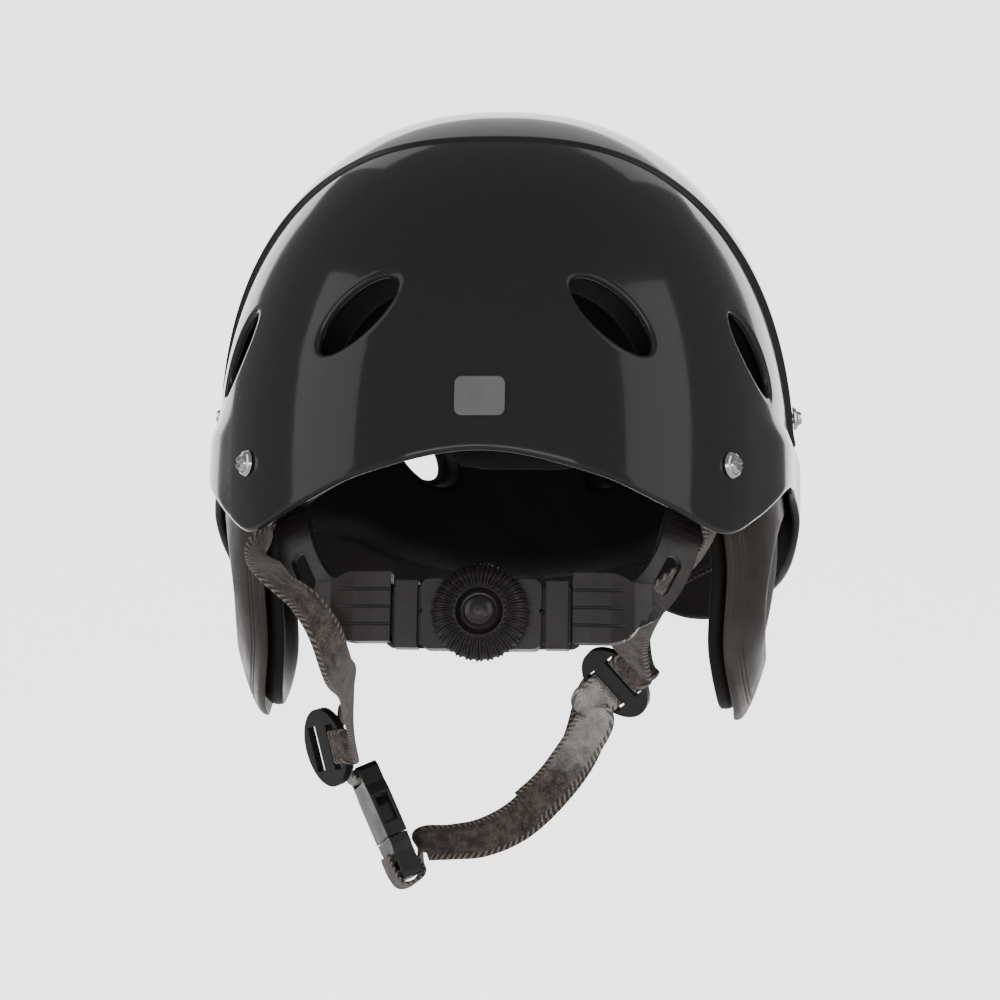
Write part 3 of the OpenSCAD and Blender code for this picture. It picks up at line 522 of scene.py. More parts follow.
def plastic_look(name, color, rough=0.42, grain=0.12, worn=0.25, soft=0.0006):
    k = Look(name, color, rough)
    if soft:
        k.rounded(soft)
    big = k.noise(45, 5, rough=0.65)
    lo = tuple(c * (1 - worn) for c in color)
    hi = tuple(c * (1 + worn) for c in color)
    k.link(k.mix(k.span(big, 0, 1, 0.3, 0.7), lo, hi), "Base Color")
    k.link(k.span(k.noise(120, 3), rough - 0.07, rough + 0.1, 0.3, 0.7), "Roughness")
    k.bump(k.noise(1800, 2), grain, 0.0002)
    return k.m


def fabric_look(name, color):
    k = Look(name, color, 0.92, Sheen_Weight=0.25, Sheen_Roughness=0.5)
    co = k.coords()
    w1 = k.add("ShaderNodeTexWave", [(co, "Vector")], Scale=620.0, Distortion=0.6,
               bands_direction="X").outputs["Fac"]
    w2 = k.add("ShaderNodeTexWave", [(co, "Vector")], Scale=620.0, Distortion=0.6,
               bands_direction="Z").outputs["Fac"]
    h = k.math("MULTIPLY", w1, w2)
    k.bump(h, 0.5, 0.0004)
    k.bump(k.noise(240, 4), 0.25, 0.0006)
    k.link(k.mix(k.span(h, 0.2, 1.0, 0, 1), tuple(c * 0.5 for c in color),
                 tuple(c * 1.5 for c in color)), "Base Color")
    return k.m


def metal_look(name, color, rough):
    k = Look(name, color, rough, 1.0)
    k.rounded(0.0003)
    k.link(k.span(k.noise(900, 3), rough * 0.6, rough * 1.6, 0.3, 0.7), "Roughness")
    k.bump(k.noise(1400, 2), 0.06, 0.0002)
    return k.m


def webbing_look(name="webbing", pale=None):
    """UV: u runs along the webbing in millimetres, v across it from 0 to 1.
    pale is the stretch of u over which the webbing turns from grey-brown to ivory."""
    k = Look(name, (0.3, 0.27, 0.25), 0.88, Sheen_Weight=0.3, Sheen_Roughness=0.4)
    uv = k.add("ShaderNodeSeparateXYZ", [(k.coords("UV"), "Vector")])
    u, v = uv.outputs["X"], uv.outputs["Y"]
    e = k.math("MULTIPLY", k.math("ABSOLUTE", k.math("SUBTRACT", v, 0.5)), 2.0)
    zig = k.math("PINGPONG", k.math("MULTIPLY", v, 8.0), 1.0)
    rib = k.math("SINE", k.math("MULTIPLY", k.math("ADD", u, k.math("MULTIPLY", zig, 1.1)),
                                2 * math.pi / 0.95))
    tick = k.math("SINE", k.math("MULTIPLY", k.math("ADD", u, k.math("MULTIPLY", e, 6.0)),
                                 2 * math.pi / 2.2))
    border = k.span(e, 0, 1, 0.72, 0.78)
    blot = k.noise(190, 6, rough=0.75)
    fine = k.noise(1500, 2)
    body = k.ramp(blot, [(0.36, (0.034, 0.0255, 0.0215)), (0.46, (0.08, 0.062, 0.053)),
                         (0.55, (0.14, 0.112, 0.098)), (0.68, (0.26, 0.212, 0.186))])
    body = k.mix(k.span(fine, 0, 0.4, 0.5, 0.72), body, (0.36, 0.3, 0.265))
    edge = k.mix(k.span(tick, 0, 1, 0.0, 0.6), (0.064, 0.051, 0.044), (0.33, 0.285, 0.255))
    col = k.mix(border, body, edge)
    if pale:
        ivory = k.mix(k.span(blot, 0, 1, 0.35, 0.62), (0.36, 0.335, 0.31), (0.72, 0.69, 0.65))
        ivory = k.mix(k.math("MULTIPLY", border, k.span(tick, 1, 0, -0.2, 0.4)), ivory,
                      (0.2, 0.18, 0.165))
        wob = k.math("ADD", u, k.math("MULTIPLY", k.math("SUBTRACT", blot, 0.5), 22.0))
        col = k.mix(k.span(wob, 0, 1, *pale), col, ivory)
    col = k.mix(k.span(rib, 0.0, 0.28, -1, 0.4), col, (0.07, 0.06, 0.055))
    k.link(col, "Base Color")
    h = k.math("ADD", k.math("MULTIPLY", rib, 0.5), k.math("MULTIPLY", fine, 0.8))
    k.bump(h, 0.5, 0.0005)
    return k.m


def guard_look():
    k = Look("guard_plastic", (0.085, 0.076, 0.072), 0.4)
    k.set("Specular IOR Level", 0.3)
    sep = k.add("ShaderNodeSeparateXYZ", [(k.coords(), "Vector")])
    # painted light: the lower part of the guard is painted paler by height, standing in for the
    # fill lamp and floor light on its downward-facing face
    low = k.span(sep.outputs["Z"], 0, 1, -0.052, -0.088)
    big = k.noise(38, 5, rough=0.65)
    dark = k.mix(k.span(big, 0, 1, 0.3, 0.7), (0.026, 0.0205, 0.0185), (0.056, 0.0455, 0.0415))
    painted_low_light = k.mix(k.span(big, 0, 1, 0.35, 0.7), (0.08, 0.068, 0.063), (0.15, 0.132, 0.124))
    k.link(k.mix(low, dark, painted_low_light), "Base Color")
    k.link(k.span(k.noise(90, 4), 0.3, 0.5, 0.3, 0.7), "Roughness")
    k.bump(k.noise(1500, 2), 0.1, 0.0002)
    return k.m


LOOKS = {
    "shell_gloss": shell_look(),
    "foam_black": foam_look(color=(0.009, 0.009, 0.0092), rough=0.72),
    "pad_fabric": fabric_look("pad_fabric", (0.02, 0.02, 0.021)),
    "screw_metal": metal_look("screw_metal", (0.72, 0.72, 0.73), 0.16),
    "hidden_metal": metal_look("hidden_metal", (0.5, 0.5, 0.51), 0.3),
    "label_grey": plastic_look("label_grey", (0.2, 0.2, 0.2), 0.4, 0.06, 0.15),
    "guard_plastic": guard_look(),
    "guard_mesh": fabric_look("guard_mesh", (0.012, 0.012, 0.012)),
    "ear_foam": foam_look("ear_foam", (0.016, 0.0145, 0.014), 0.5),
    "cradle_plastic": plastic_look("cradle_plastic", (0.026, 0.0225, 0.021), 0.36, 0.12, 0.35),
    "dial_plastic": plastic_look("dial_plastic", (0.026, 0.0225, 0.021), 0.28, 0.05, 0.25, 0.0002),
    "belt_plastic": plastic_look("belt_plastic", (0.02, 0.019, 0.019), 0.4),
    "buckle_plastic": plastic_look("buckle_plastic", (0.022, 0.021, 0.021), 0.36, 0.1, 0.3),
    "webbing": webbing_look(),
    "webbing_light": webbing_look("webbing_light", (-60, -40)),
    "webbing_chin": webbing_look("webbing_chin", (300, 310)),
    "webbing_tail": webbing_look("webbing_tail", (14, 34)),
    "shell_inside": plastic_look("shell_inside", (0.035, 0.031, 0.029), 0.6, 0.2, 0.3, 0),
}

for part in frame["record"]["subparts"]:
    ob = NODES[part["node"]]
    ob.data.materials.clear()
    ob.data.materials.append(LOOKS[part["material_slot"]])
    for p in ob.data.polygons:
        p.use_smooth = True
    ob.data.set_sharp_from_angle(angle=math.radians(28))


# ---------- shell and liner ----------
def step_at(f, z):
    """Full depth below the crease, nothing above it, a crisp rounded step between."""
    return STEP * (1 - ease((f - 84) / 10)) * (1 - ease((z - crease_z(f) + 1.1) / 2.2))


def shell_outer(th, z):
    f = fold(th)
    return form_pt(th, z, 0, flare_at(f, z) - step_at(f, z))


def build_shell():
    n = 480
    th = np.arange(n) * 360.0 / n
    f = fold(th)
    zr = curve(EDGE, f)
    rows = rows_for(th, zr, crease_z(f), HIGH - 0.4, 62, 9, 84, 1.25)
    vents = [(a, z, VENT_LEN + 2.6, VENT_W + 2.6) for a, z in VENTS]
    # the inner wall is lower at the top, so its rows are eased down
    def inner(t, z):
        zz = np.where(z > 60, 60 + (z - 60) * (HIGH - WALL - 60) / (HIGH - 60), z)
        ff = fold(t)
        return form_pt(t, zz, -WALL, flare_at(ff, z) - step_at(ff, z))
    ob = skin("shell_skin", shell_outer, inner, rows, n, vents, (1.7, 1.0),
              LOOKS["shell_gloss"])
    # faces that look inward have a duller finish
    me = ob.data
    me.materials.append(LOOKS["shell_inside"])
    k = len(me.polygons)
    cen, nor = np.empty(k * 3), np.empty(k * 3)
    me.polygons.foreach_get("center", cen)
    me.polygons.foreach_get("normal", nor)
    cen, nor = cen.reshape(-1, 3) / MM, nor.reshape(-1, 3)
    me.polygons.foreach_set("material_index", ((grad_at(cen) * nor).sum(1) < -0.5).astype(int))
    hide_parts("outer_shell")
    return ob


def build_liner():
    n = 300
    gap, thick = 1.0, 15.0
    d_out = -(WALL + STEP) - gap
    d_in = d_out - thick
    th = np.arange(n) * 360.0 / n
    f = fold(th)
    zr = curve(FOAM, f)
    rows = rows_for(th, zr, np.full(n, 52.0), HIGH + d_out - 0.4, 44, 2, 46, 0.8)

    def outer(t, z):
        ff = fold(t)
        e = flare_at(ff, z) + STEP * ease((ff - 92) / 16) * ease((60 - z) / 40)
        # recess for the front strap end
        e = e - 6.5 * ease((9 - np.abs(ff - 119)) / 1.5) * ease((13 - z) / 3)
        p = form_pt(t, z, d_out, e)
        # recess for the tongue of the ear guard
        w = ease((27 - np.abs(p[..., 1] - 3)) / 2) * ease((44 - z) / 2)
        lim = np.minimum(np.abs(p[..., 0]), 93.5 + 20 * (1 - w))
        p[..., 0] = np.sign(p[..., 0]) * lim
        return p

    def inner(t, z):
        zz = np.where(z > 40, 40 + (z - 40) * (HIGH + d_in - 40) / (HIGH + d_out - 40), z)
        return form_pt(t, zz, d_in, 0 * z)

    def cut(t, z):
        ff = fold(t)
        return (np.abs(ff - 44) < 8.6) & (z < 9)

    vents = [(a, z, VENT_LEN + 8, VENT_W + 8) for a, z in VENTS]
    ob = skin("liner_skin", outer, inner, rows, n, vents, (2.2, 5.0), LOOKS["foam_black"],
              cut=cut, edge=12)
    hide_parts("foam_liner")
    return ob


build_shell()
build_liner()


# ---------- webbing ----------
def spline(p, t):
    """A smooth path through the points p, at t counted in points."""
    p = np.asarray(p, float)
    n = len(p) - 1
    i = np.minimum(np.floor(t).astype(int), n - 1)
    u = (t - i)[:, None]
    a, b, c, d = p[np.maximum(i - 1, 0)], p[i], p[i + 1], p[np.minimum(i + 2, n)]
    return 0.5 * (2 * b + (c - a) * u + (2 * a - 5 * b + 4 * c - d) * u * u
                  + (3 * b - a - 3 * c + d) * u ** 3)


def unit(v):
    v = np.asarray(v, float)
    return v / np.linalg.norm(v, axis=-1, keepdims=True)


WEB_THICK = 1.5


def strap(name, nodes, path, across, width, look="webbing", bend=None):
    """A woven strap with soft edges along a path. UVs are millimetres along, 0 to 1 across."""
    sub = 14
    n = (len(path) - 1) * sub
    t = np.arange(n + 1) / sub
    c = spline(path, t)
    last = len(path) - 1
    g = unit(spline(path, np.minimum(t + 0.1, last)) - spline(path, np.maximum(t - 0.1, 0)))
    a0 = unit(spline(across, t))
    a = unit(a0 - (a0 * g).sum(-1, keepdims=True) * g)
    b = np.cross(g, a)
    s = np.sin(np.linspace(-math.pi / 2, math.pi / 2, 17))
    # flat with round edges, and a shallow groove inside the woven border
    groove = 1 - 0.1 * np.exp(-((np.abs(s) - 0.74) / 0.04) ** 2)
    h = np.sqrt(np.maximum(0, 1 - np.abs(s) ** 12)) * groove
    xs = np.concatenate([s, s[::-1][1:-1]])
    hs = np.concatenate([h, -h[::-1][1:-1]])
    k = len(xs)
    wave = 0.12 * np.sin(t * 9.0 + len(name))[:, None]
    P = (c[:, None] + a[:, None] * (xs * width / 2)[None, :, None]
         + b[:, None] * (hs * WEB_THICK / 2)[None, :, None])
    P = P + b[:, None] * (wave * (1 - xs ** 2)[None, :])[..., None] * 0.5
    faces = tube_faces(n + 1, k)
    faces.append(tuple(range(k)))
    faces.append(tuple(n * k + i for i in reversed(range(k))))
    ob = add_mesh(name, P.reshape(-1, 3), faces, LOOKS[look],
                  None if bend else "helmet")
    run = np.concatenate([[0], np.cumsum(np.linalg.norm(np.diff(c, axis=0), axis=1))])
    uv = ob.data.uv_layers.new(name="along")
    vi = np.empty(len(ob.data.loops), int)
    ob.data.loops.foreach_get("vertex_index", vi)
    uv.data.foreach_set("uv", np.stack([run[vi // k], (xs[vi % k] + 1) / 2], -1).ravel())
    if bend:
        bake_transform(ob)
    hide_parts(*nodes)
    return ob


# Divider rings: centres, then sideways, lengthways and outward directions of each
RING_R, RING_L = np.array([43.1, 0, -73.2]), np.array([-66.6, 6.9, -98.5])
RS = unit([0.67, 0.16, -0.72])
RV = unit(np.cross(np.cross(RS, [0.67, -0.54, 0.51]), RS))
RN = np.cross(RS, RV)
LS = unit([0.24, 0.17, -0.95])
LV = unit(np.cross(np.cross(LS, [0.75, -0.65, 0.08]), LS))
LN = np.cross(LS, LV)
# Buckle: centre, then lengthways, sideways and outward directions
BC = np.array([-44.8, 15, -126.7])
BY = unit([0.42, 0, -0.9075])
BX = unit([-0.9075 * 0.3, 0.954, -0.42 * 0.3])
BN = np.cross(BX, BY)


def into_slot(c, v, n):
    """Last points of a strap that dips into the slot of a ring."""
    return [c + 13 * v + 3.7 * n, c + 8.8 * v + 3.3 * n, c + 5.4 * v + 2.7 * n,
            c + 4.7 * v + 0.3 * n]


def left(pts):
    """The same points on the other side."""
    return [[-p[0], p[1], p[2]] for p in pts]


# Strap ends under the screws, and the way across them
REAR_TOP = [[80.6, -85.5, 5.0], [80.5, -85.4, -5.0], [80.2, -85.2, -12.0], [79.2, -84.4, -18.0]]
FRONT_TOP = [[100.0, 56.2, 8.0], [99.8, 56.2, -2.0], [98.6, 55.8, -9.0]]
REAR_ACROSS = [[-0.57, -0.82, 0]] * 3 + [[-0.53, -0.85, 0]]
strap("rear_web_right", ["rear_strap_right"],
      REAR_TOP + [[78.2, -74.4, -26.5], [72.6, -69, -35], [63, -66, -43.5],
                  [53.4, -51, -53.4], [48, -27, -60.4]] + into_slot(RING_R, RV, RN),
      REAR_ACROSS + [[-0.15, -0.98, -0.1], [-0.2, -0.95, -0.1], [-0.6, -0.75, -0.1],
                     [-0.94, -0.2, -0.1], [-0.92, 0.2, 0.2]] + [-RS] * 4, 16)
strap("rear_web_left", ["rear_strap_left"],
      left(REAR_TOP) + [[-77.8, -77.1, -27], [-78.4, -91.5, -37], [-71, -108.8, -47.4],
                        [-59.6, -111.5, -56.5], [-52, -113.6, -67.4], [-49.4, -100.6, -78.2],
                        [-49.6, -72, -80.4], [-53, -40, -85.4], RING_L + 19 * LV + 4.6 * LN]
      + into_slot(RING_L, LV, LN),
      left(REAR_ACROSS) + [[0.1, -0.98, -0.1], [-0.1, -0.95, -0.3], [-0.3, -0.8, -0.4],
                           [-0.5, -0.65, -0.5], [-0.7, -0.5, -0.4], [-0.6, -0.4, -0.7],
                           [-0.4, -0.2, -0.88], [-0.2, -0.1, -0.97]] + [LS] * 5, 13)
strap("front_web_right", ["front_strap_right"],
      FRONT_TOP + [[87.4, 47.6, -19], [70, 38, -29], [56.5, 28, -38.6], [47.6, 14, -52.4]]
      + into_slot(RING_R, RV, -RN),
      [[-0.29, 0.96, 0]] * 3 + [[-0.4, 0.9, 0], [-0.4, 0.9, 0], [-0.4, 0.9, 0.1],
                                [-0.7, 0.6, 0.3]] + [-RS] * 4, 16)
strap("front_web_left", ["front_strap_left"],
      left(FRONT_TOP) + [[-93.6, 51.4, -19], [-85, 44, -32], [-74.6, 35, -45],
                         [-65.4, 26, -57], [-61, 20, -70], [-61, 15, -82],
                         RING_L + 2.6 * LV - 6.2 * LN - 9 * LS],
      [[-0.29, -0.96, 0]] * 3 + [[-0.2, -0.96, 0]] + [[-0.2, -0.95, 0.1]] * 3
      + [[-0.1, -0.95, 0.2]] + [[0, -0.9, 0.3]] * 2, 14)
strap("lower_web_left", ["lower_strap_left"],
      [RING_L - 9.6 * LS - 2.7 * LN, RING_L + LS - 3.2 * LN, RING_L + 6 * LS - 5.4 * LN,
       BC - 24.4 * BY + 5 * BN, BC - 21.4 * BY + 5.6 * BN, BC - 19.2 * BY + 4.6 * BN,
       BC - 18.4 * BY + 0.5 * BN],
      [LV, LV, unit(2 * LV - BX)] + [-BX] * 4, 14, look="webbing_light")
strap("chin_web", ["chin_strap_end", "chin_strap"],
      [BC + 12 * BY + 5.4 * BN, BC + 19 * BY + 5.4 * BN, BC + 24.2 * BY + 3.6 * BN,
       BC + 24.6 * BY - 2.4 * BN, BC + 21 * BY - 6.6 * BN, [-31.1, 15.5, -134.9],
       [-19.7, 16.5, -133.5], [-7.1, 16.5, -131.5], [6.6, 16, -124.5], [19.9, 15, -111.2],
       [29.6, 14, -96.8]] + into_slot(RING_R, -RV, -RN),
      [BX, BX, BX, BX, unit(BX + [0.1, 0, 0.3]), [-0.1, 0.56, 0.82], [-0.1, 0.53, 0.84],
       [-0.2, 0.35, 0.92], [-0.36, 0.16, 0.92], [-0.63, 0.02, 0.78], [-0.75, 0.1, 0.6]]
      + [-RS] * 4, 16, look="webbing_chin",
      bend=("helmet", "buckle_tongue", (0.026, 0.014, -0.102), (-0.012, 0.0165, -0.132)))
strap("tail_web", ["strap_tail"],
      [[9.6, 12.2, -120.3], [19.6, 10.6, -110.9], [29.6, 8.8, -97], [35.2, 6.2, -87]]
      + into_slot(RING_R, -RV, RN),
      [[-0.6, 0.1, 0.78], [-0.7, 0.1, 0.7], [-0.8, 0.1, 0.6], [-0.8, 0.1, 0.55]] + [-RS] * 4,
      15.4, look="webbing_tail")


# ---------- ear guards and ear pads ----------
# Outline of a guard: angle and distance from its middle. Then height and distance out.
GUARD = [(0, 42), (48, 54), (90, 50), (132, 61), (180, 44), (225, 47), (270, 49.5),
         (315, 46), (360, 42)]
GUARD_X = [(-95, 81), (-89, 88), (-84, 92.4), (-73, 97), (-57, 101.6), (-40, 105),
           (-27, 106.6), (-12, 106.5), (0, 105.6), (12, 104.2), (24, 102.6), (40, 99.6)]
GCY, GCZ = -6.0, -38.0
GUARD_T = 2.6


def guard_x(y, z):
    """How far out the face of the right guard is."""
    drop = 19.5 * np.power(np.abs(y + 2) / 48, 1.9)
    return curve(GUARD_X, z) - drop * (1 - 0.6 * ease((z + 16) / 16))


def guard_ring(hy, hz, shrink, section):
    """A closed band round the ear. section gives, for the gap length, lists of the distance
    in from the outline and the depth in from the outer face."""
    n = 288
    a = np.arange(n) * 360.0 / n
    sa, ca = np.sin(np.radians(a)), np.cos(np.radians(a))
    up = np.where(sa > 0.3, 38 / np.maximum(sa, 0.3), 99)
    r = np.minimum(curve(GUARD, a), up)
    if shrink == 0:
        r = np.where((a > 69) & (a < 96), 74 / np.maximum(sa, 0.3), r)
    r = r - shrink
    qy, qz = r * ca + GCY, r * sa + GCZ
    py, pz = hy * ca - 1, hz * sa + GCZ + 1
    L = np.hypot(qy - py, qz - pz)
    D, O = section(L, a)
    s = 1 - D / L
    y = py + (qy - py) * s
    z = pz + (qz - pz) * s
    return np.stack([guard_x(y, z) - O, y, z], -1)


def plate_section(L, a):
    """Section of the guard: a plate with round edges and two grooves along the rear."""
    t, r = GUARD_T, GUARD_T / 2
    flat = np.ones_like(L)
    d, o = [], []
    # outer face from the outline to the ear opening: close rows over the grooves
    rows = np.concatenate([np.linspace(r, 10, 34), np.linspace(0, 1, 9)[1:] * 100 + 10])
    rear = ease((np.cos(np.radians(a - 190)) - 0.1) / 0.3)
    for k in rows:
        dist = np.where(k <= 10, k, 10 + (L - r - 10) * (k - 10) / 100)
        cut = 0.38 * (np.exp(-((k - 5.2) / 0.42) ** 2) + np.exp(-((k - 7.4) / 0.42) ** 2)) * rear
        d.append(dist)
        o.append(cut)
    for q in np.linspace(0, math.pi, 9)[1:]:
        d.append(L - r + r * math.sin(q))
        o.append(flat * (t / 2 - t / 2 * math.cos(q)))
    for k in np.linspace(0, 1, 9)[1:]:
        d.append(L - r - (L - 2 * r) * k)
        o.append(flat * t)
    for q in np.linspace(math.pi, 0, 9)[1:-1]:
        d.append(r - r * math.sin(q) + 0 * L)
        o.append(flat * (t / 2 - t / 2 * math.cos(q)))
    return np.array(d), np.array(o)


def pad_section(L, a):
    """Section of the ear cushion: a fat rounded bar, crowned on the face to the ear."""
    o0, o1 = 4.2, 13.2
    d, o = [], []
    q = np.linspace(0, 2 * math.pi, 44, endpoint=False)
    for w in q:
        c, s = math.cos(w), math.sin(w)
        u = math.copysign(abs(c) ** 0.55, c)
        v = math.copysign(abs(s) ** 0.7, s)
        crown = 1 - 0.12 * (u * u) if v < 0 else 1
        d.append(L * (0.5 + 0.495 * u))
        o.append((o0 + o1) / 2 + (o1 - o0) / 2 * -v * crown + 0 * L)
    return np.array(d), np.array(o)


def solid_ring(name, P, side, mat, body):
    """A closed ring from a grid of points, mirrored where side is -1."""
    m, n = P.shape[:2]
    P = P * [side, 1, 1]
    faces = []
    for j in range(m):
        for i in range(n):
            i2, j2 = (i + 1) % n, (j + 1) % m
            q = (j * n + i, j * n + i2, j2 * n + i2, j2 * n + i)
            faces.append(q if side > 0 else q[::-1])
    return add_mesh(name, P.reshape(-1, 3), faces, mat, body)


def cut_with(ob, lo, hi):
    """Takes a box out of ob."""
    x0, y0, z0 = [c * MM for c in lo]
    x1, y1, z1 = [c * MM for c in hi]
    v = [(x, y, z) for z in (z0, z1) for y in (y0, y1) for x in (x0, x1)]
    f = [(0, 2, 3, 1), (4, 5, 7, 6), (0, 1, 5, 4), (2, 6, 7, 3), (0, 4, 6, 2), (1, 3, 7, 5)]
    me = bpy.data.meshes.new("cutter")
    me.from_pydata(v, [], f)
    tool = bpy.data.objects.new("cutter", me)
    bpy.context.scene.collection.objects.link(tool)
    mod = ob.modifiers.new("slot", "BOOLEAN")
    mod.operation, mod.object, mod.solver = "DIFFERENCE", tool, "EXACT"
    apply_all(ob)
    bpy.data.objects.remove(tool)


def apply_all(ob):
    """Turns the modifiers of ob into plain mesh."""
    dg = bpy.context.evaluated_depsgraph_get()
    dg.update()
    new = bpy.data.meshes.new_from_object(ob.evaluated_get(dg))
    ob.modifiers.clear()
    ob.data = new


for side, word in ((1, "right"), (-1, "left")):
    g = solid_ring("guard_skin_" + word, guard_ring(25, 27, 0, plate_section), side,
                   LOOKS["guard_plastic"], None)
    cut_with(g, (-130, 2.4, 24), (130, 7.6, 50))
    for p in g.data.polygons:
        p.use_smooth = True
    g.data.set_sharp_from_angle(angle=math.radians(40))
    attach(g, "guard_" + word)
    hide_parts("ear_guard_" + word)
    e = solid_ring("ear_cushion_" + word, guard_ring(14, 20, 4, pad_section), side,
                   LOOKS["ear_foam"], "guard_" + word)
    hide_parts("ear_pad_" + word)


# ---------- dial ----------
PETALS = 28
DIAL_Y, DIAL_Z = -108.4, -59.5
DIAL_H = 8.98


def build_dial():
    n, ribs = PETALS * 30, PETALS
    a = np.arange(n) * 2 * math.pi / n
    pitch = 2 * math.pi / ribs
    phi = np.mod(a, pitch) - pitch / 2
    prof = []   # radius, height above the base
    for r in np.linspace(14.1, 15.7, 5):
        prof.append((r, 0.0 if r < 14.2 else (r - 14.1) * 1.25))
    prof += [(16.2, 2.25), (16.55, 2.8), (16.5, 3.5), (16.2, 4.1), (15.8, 4.7), (15.3, 5.3),
             (14.8, 5.85), (14.2, 6.4), (13.6, 6.9), (13.0, 7.3), (12.4, 7.65)]
    prof += [(r, 7.65 + (12.4 - r) * 0.14) for r in np.arange(12.0, 8.3, -0.26)]
    prof += [(8.2, 8.15), (7.95, 7.8), (7.6, 7.1), (7.2, 6.5), (6.6, 6.0), (5.9, 5.9),
             (4.0, 5.9), (2.0, 5.9)]
    V = []
    end = 9.4
    for r, h in prof:
        # each petal is a loop: two ribs joined by a round end towards the middle
        x = phi * r
        half = 0.31 * pitch * max(r, end + 0.6)
        yy = min(r - end - half, 0)
        d = np.abs(np.sqrt(x * x + yy * yy) - half)
        ridge = np.exp(-(d / (0.036 * r)) ** 2) * float(ease(np.array((r - end + 0.9) / 0.8)))
        side = float(ease(np.array((h - 1.8) / 0.8))) * float(ease(np.array((r - 12.5) / 3.4)))
        top = float(ease(np.array((r - 8.2) / 0.6))) * float(ease(np.array((h - 2.0) / 1.0)))
        rr = r + 0.75 * (ridge - 0.7) * side
        zz = h + 1.0 * (ridge - 0.45) * top * (1 - 0.45 * side)
        zz = np.minimum(zz, DIAL_H)
        V.append(np.stack([rr * np.sin(a), DIAL_Y - zz, DIAL_Z + rr * np.cos(a)], -1))
    V = np.array(V)
    faces = tube_faces(len(prof), n)
    faces.append(tuple(range(n)))
    k = (len(prof) - 1) * n
    faces.append(tuple(k + i for i in reversed(range(n))))
    ob = add_mesh("dial_skin", V.reshape(-1, 3), faces, LOOKS["dial_plastic"], "dial", sharp=60)
    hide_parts("dial_knob")
    return ob


build_dial()


# ---------- comfort pads ----------
# Mesh size, how far the cloth starts inside the solid, and frames it runs for
PAD_MESH, PAD_INSET, PAD_FRAMES = 0.0022, 0.0009, 14


def soft_pad(node, cap, pressure=3.0):
    """A stuffed pad made from the CAD solid, swollen by a short cloth run. No point moves
    further than cap, so that the pad stays clear of its neighbours."""
    src = NODES[node]
    me = src.data.copy()
    ob = bpy.data.objects.new(node + "_cloth", me)
    bpy.context.scene.collection.objects.link(ob)
    me.materials.clear()
    me.materials.append(LOOKS["pad_fabric"])
    rm = ob.modifiers.new("even", "REMESH")
    rm.mode, rm.voxel_size = "VOXEL", PAD_MESH
    apply_all(ob)
    k = len(ob.data.vertices)
    co, no = np.empty(k * 3), np.empty(k * 3)
    ob.data.vertices.foreach_get("co", co)
    ob.data.vertices.foreach_get("normal", no)
    start = co.reshape(-1, 3) - no.reshape(-1, 3) * PAD_INSET
    ob.data.vertices.foreach_set("co", start.ravel())
    ob.data.update()
    cl = ob.modifiers.new("swell", "CLOTH")
    st = cl.settings
    st.quality = 4
    st.mass = 0.15
    st.tension_stiffness = st.compression_stiffness = 18
    st.bending_stiffness = 0.4
    st.use_pressure = True
    st.uniform_pressure_force = pressure
    st.effector_weights.gravity = 0
    cl.collision_settings.use_collision = False
    for f in range(1, PAD_FRAMES + 1):
        bpy.context.scene.frame_set(f)
    apply_all(ob)
    bpy.context.scene.frame_set(1)
    new = np.empty(k * 3)
    ob.data.vertices.foreach_get("co", new)
    mv = new.reshape(-1, 3) - start
    far = np.linalg.norm(mv, axis=1, keepdims=True)
    mv = mv * np.minimum(1, cap / np.maximum(far, 1e-9))
    ob.data.vertices.foreach_set("co", (start + mv).ravel())
    ob.data.update()
    sm = ob.modifiers.new("smooth", "SUBSURF")
    sm.levels = sm.render_levels = 1
    apply_all(ob)
    for p in ob.data.polygons:
        p.use_smooth = True
    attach(ob, "cradle" if node == "nape_pad" else "helmet")
    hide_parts(node)
    return ob


for node in ("front_pad", "side_pad_right", "side_pad_left", "rear_pad", "crown_pad"):
    soft_pad(node, 0.0013)
soft_pad("nape_pad", 0.0006, 1.5)


# ---------- stage, light and camera ----------
def plane(name, cx, cy, cz, sx, sy, rot, mat):
    """A flat sheet of the stage. sx and sy are half sizes."""
    me = bpy.data.meshes.new(name)
    me.from_pydata([(-sx, -sy, 0), (sx, -sy, 0), (sx, sy, 0), (-sx, sy, 0)], [], [(0, 1, 2, 3)])
    ob = bpy.data.objects.new(name, me)
    ob.location = (cx, cy, cz)
    ob.rotation_euler = rot
    me.materials.append(mat)
    bpy.context.scene.collection.objects.link(ob)
    return ob


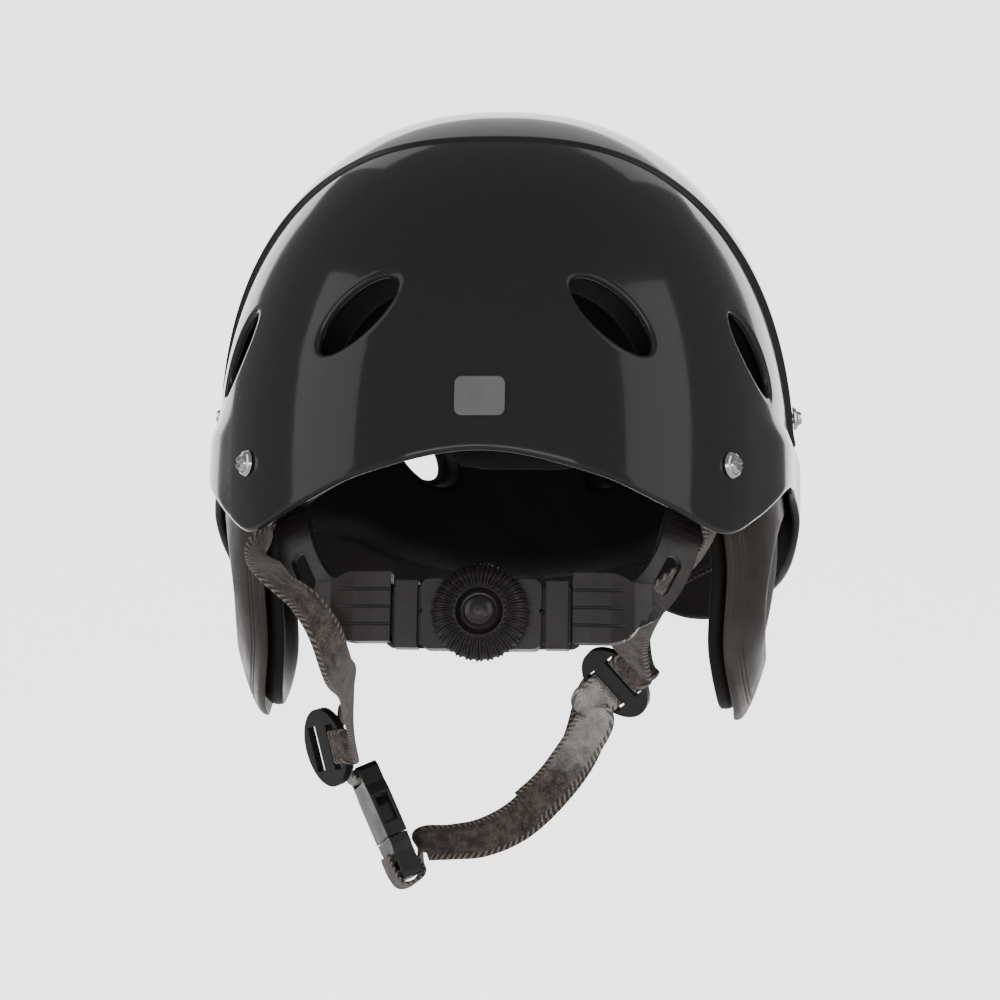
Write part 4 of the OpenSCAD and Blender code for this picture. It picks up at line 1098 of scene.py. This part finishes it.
white = Look("paper_white", (0.86, 0.86, 0.86), 0.9)
plane("floor", 0, 0.4, -0.32, 3.2, 3.2, (0, 0, 0), white.m)
glow = Look("backdrop_white", (0.9, 0.9, 0.9), 1.0)
glow.set("Emission Color", (1, 1, 1, 1))
glow.set("Emission Strength", 2.4)
plane("backdrop", -0.15, 2.1, 0.36, 1.7, 1.6, (math.radians(90), 0, 0), glow.m)


def area(name, loc, look, sx, sy, power):
    """A soft box of light at loc that points at look."""
    li = bpy.data.lights.new(name, "AREA")
    li.shape = "RECTANGLE"
    li.size, li.size_y = sx, sy
    li.energy = power
    ob = bpy.data.objects.new(name, li)
    ob.location = loc
    ob.rotation_euler = (Vector(look) - Vector(loc)).to_track_quat("-Z", "Y").to_euler()
    bpy.context.scene.collection.objects.link(ob)
    return ob


area("left_box", (-1.35, -0.62, 0.3), (0, 0, 0.02), 0.9, 1.7, 6.5)
area("right_box", (1.35, -0.62, 0.3), (0, 0, 0.02), 0.9, 1.7, 6.5)
area("top_box", (0, 1.1, 1.5), (0, 0, 0), 1.8, 1.0, 4)
area("low_fill", (0, -1.3, -0.25), (0, 0, -0.05), 1.2, 0.4, 5)

world = bpy.data.worlds.new("room")
world.use_nodes = True
world.node_tree.nodes["Background"].inputs[0].default_value = (1, 1, 1, 1)
world.node_tree.nodes["Background"].inputs[1].default_value = 0.22
bpy.context.scene.world = world

# The camera is behind the helmet, a little to the right and below, and slightly rolled.
AZ, EL, ROLL, DIST = math.radians(4.0), math.radians(-9.0), math.radians(0.9), 1.0
cam_data = bpy.data.cameras.new("camera")
cam_data.sensor_width = 36.0
cam_data.lens = 36.0 / 0.383
cam = bpy.data.objects.new("camera", cam_data)
bpy.context.scene.collection.objects.link(cam)
back = Vector((math.sin(AZ) * math.cos(EL), -math.cos(AZ) * math.cos(EL), math.sin(EL)))
right = Vector((math.cos(AZ), math.sin(AZ), 0))
up = back.cross(right)
r2 = right * math.cos(ROLL) + up * math.sin(ROLL)
u2 = up * math.cos(ROLL) - right * math.sin(ROLL)
at = back * DIST
cam.matrix_world = Matrix(((r2.x, u2.x, back.x, at.x), (r2.y, u2.y, back.y, at.y),
                           (r2.z, u2.z, back.z, at.z), (0, 0, 0, 1)))
cam_data.shift_x, cam_data.shift_y = -0.005, -0.01
bpy.context.scene.camera = cam
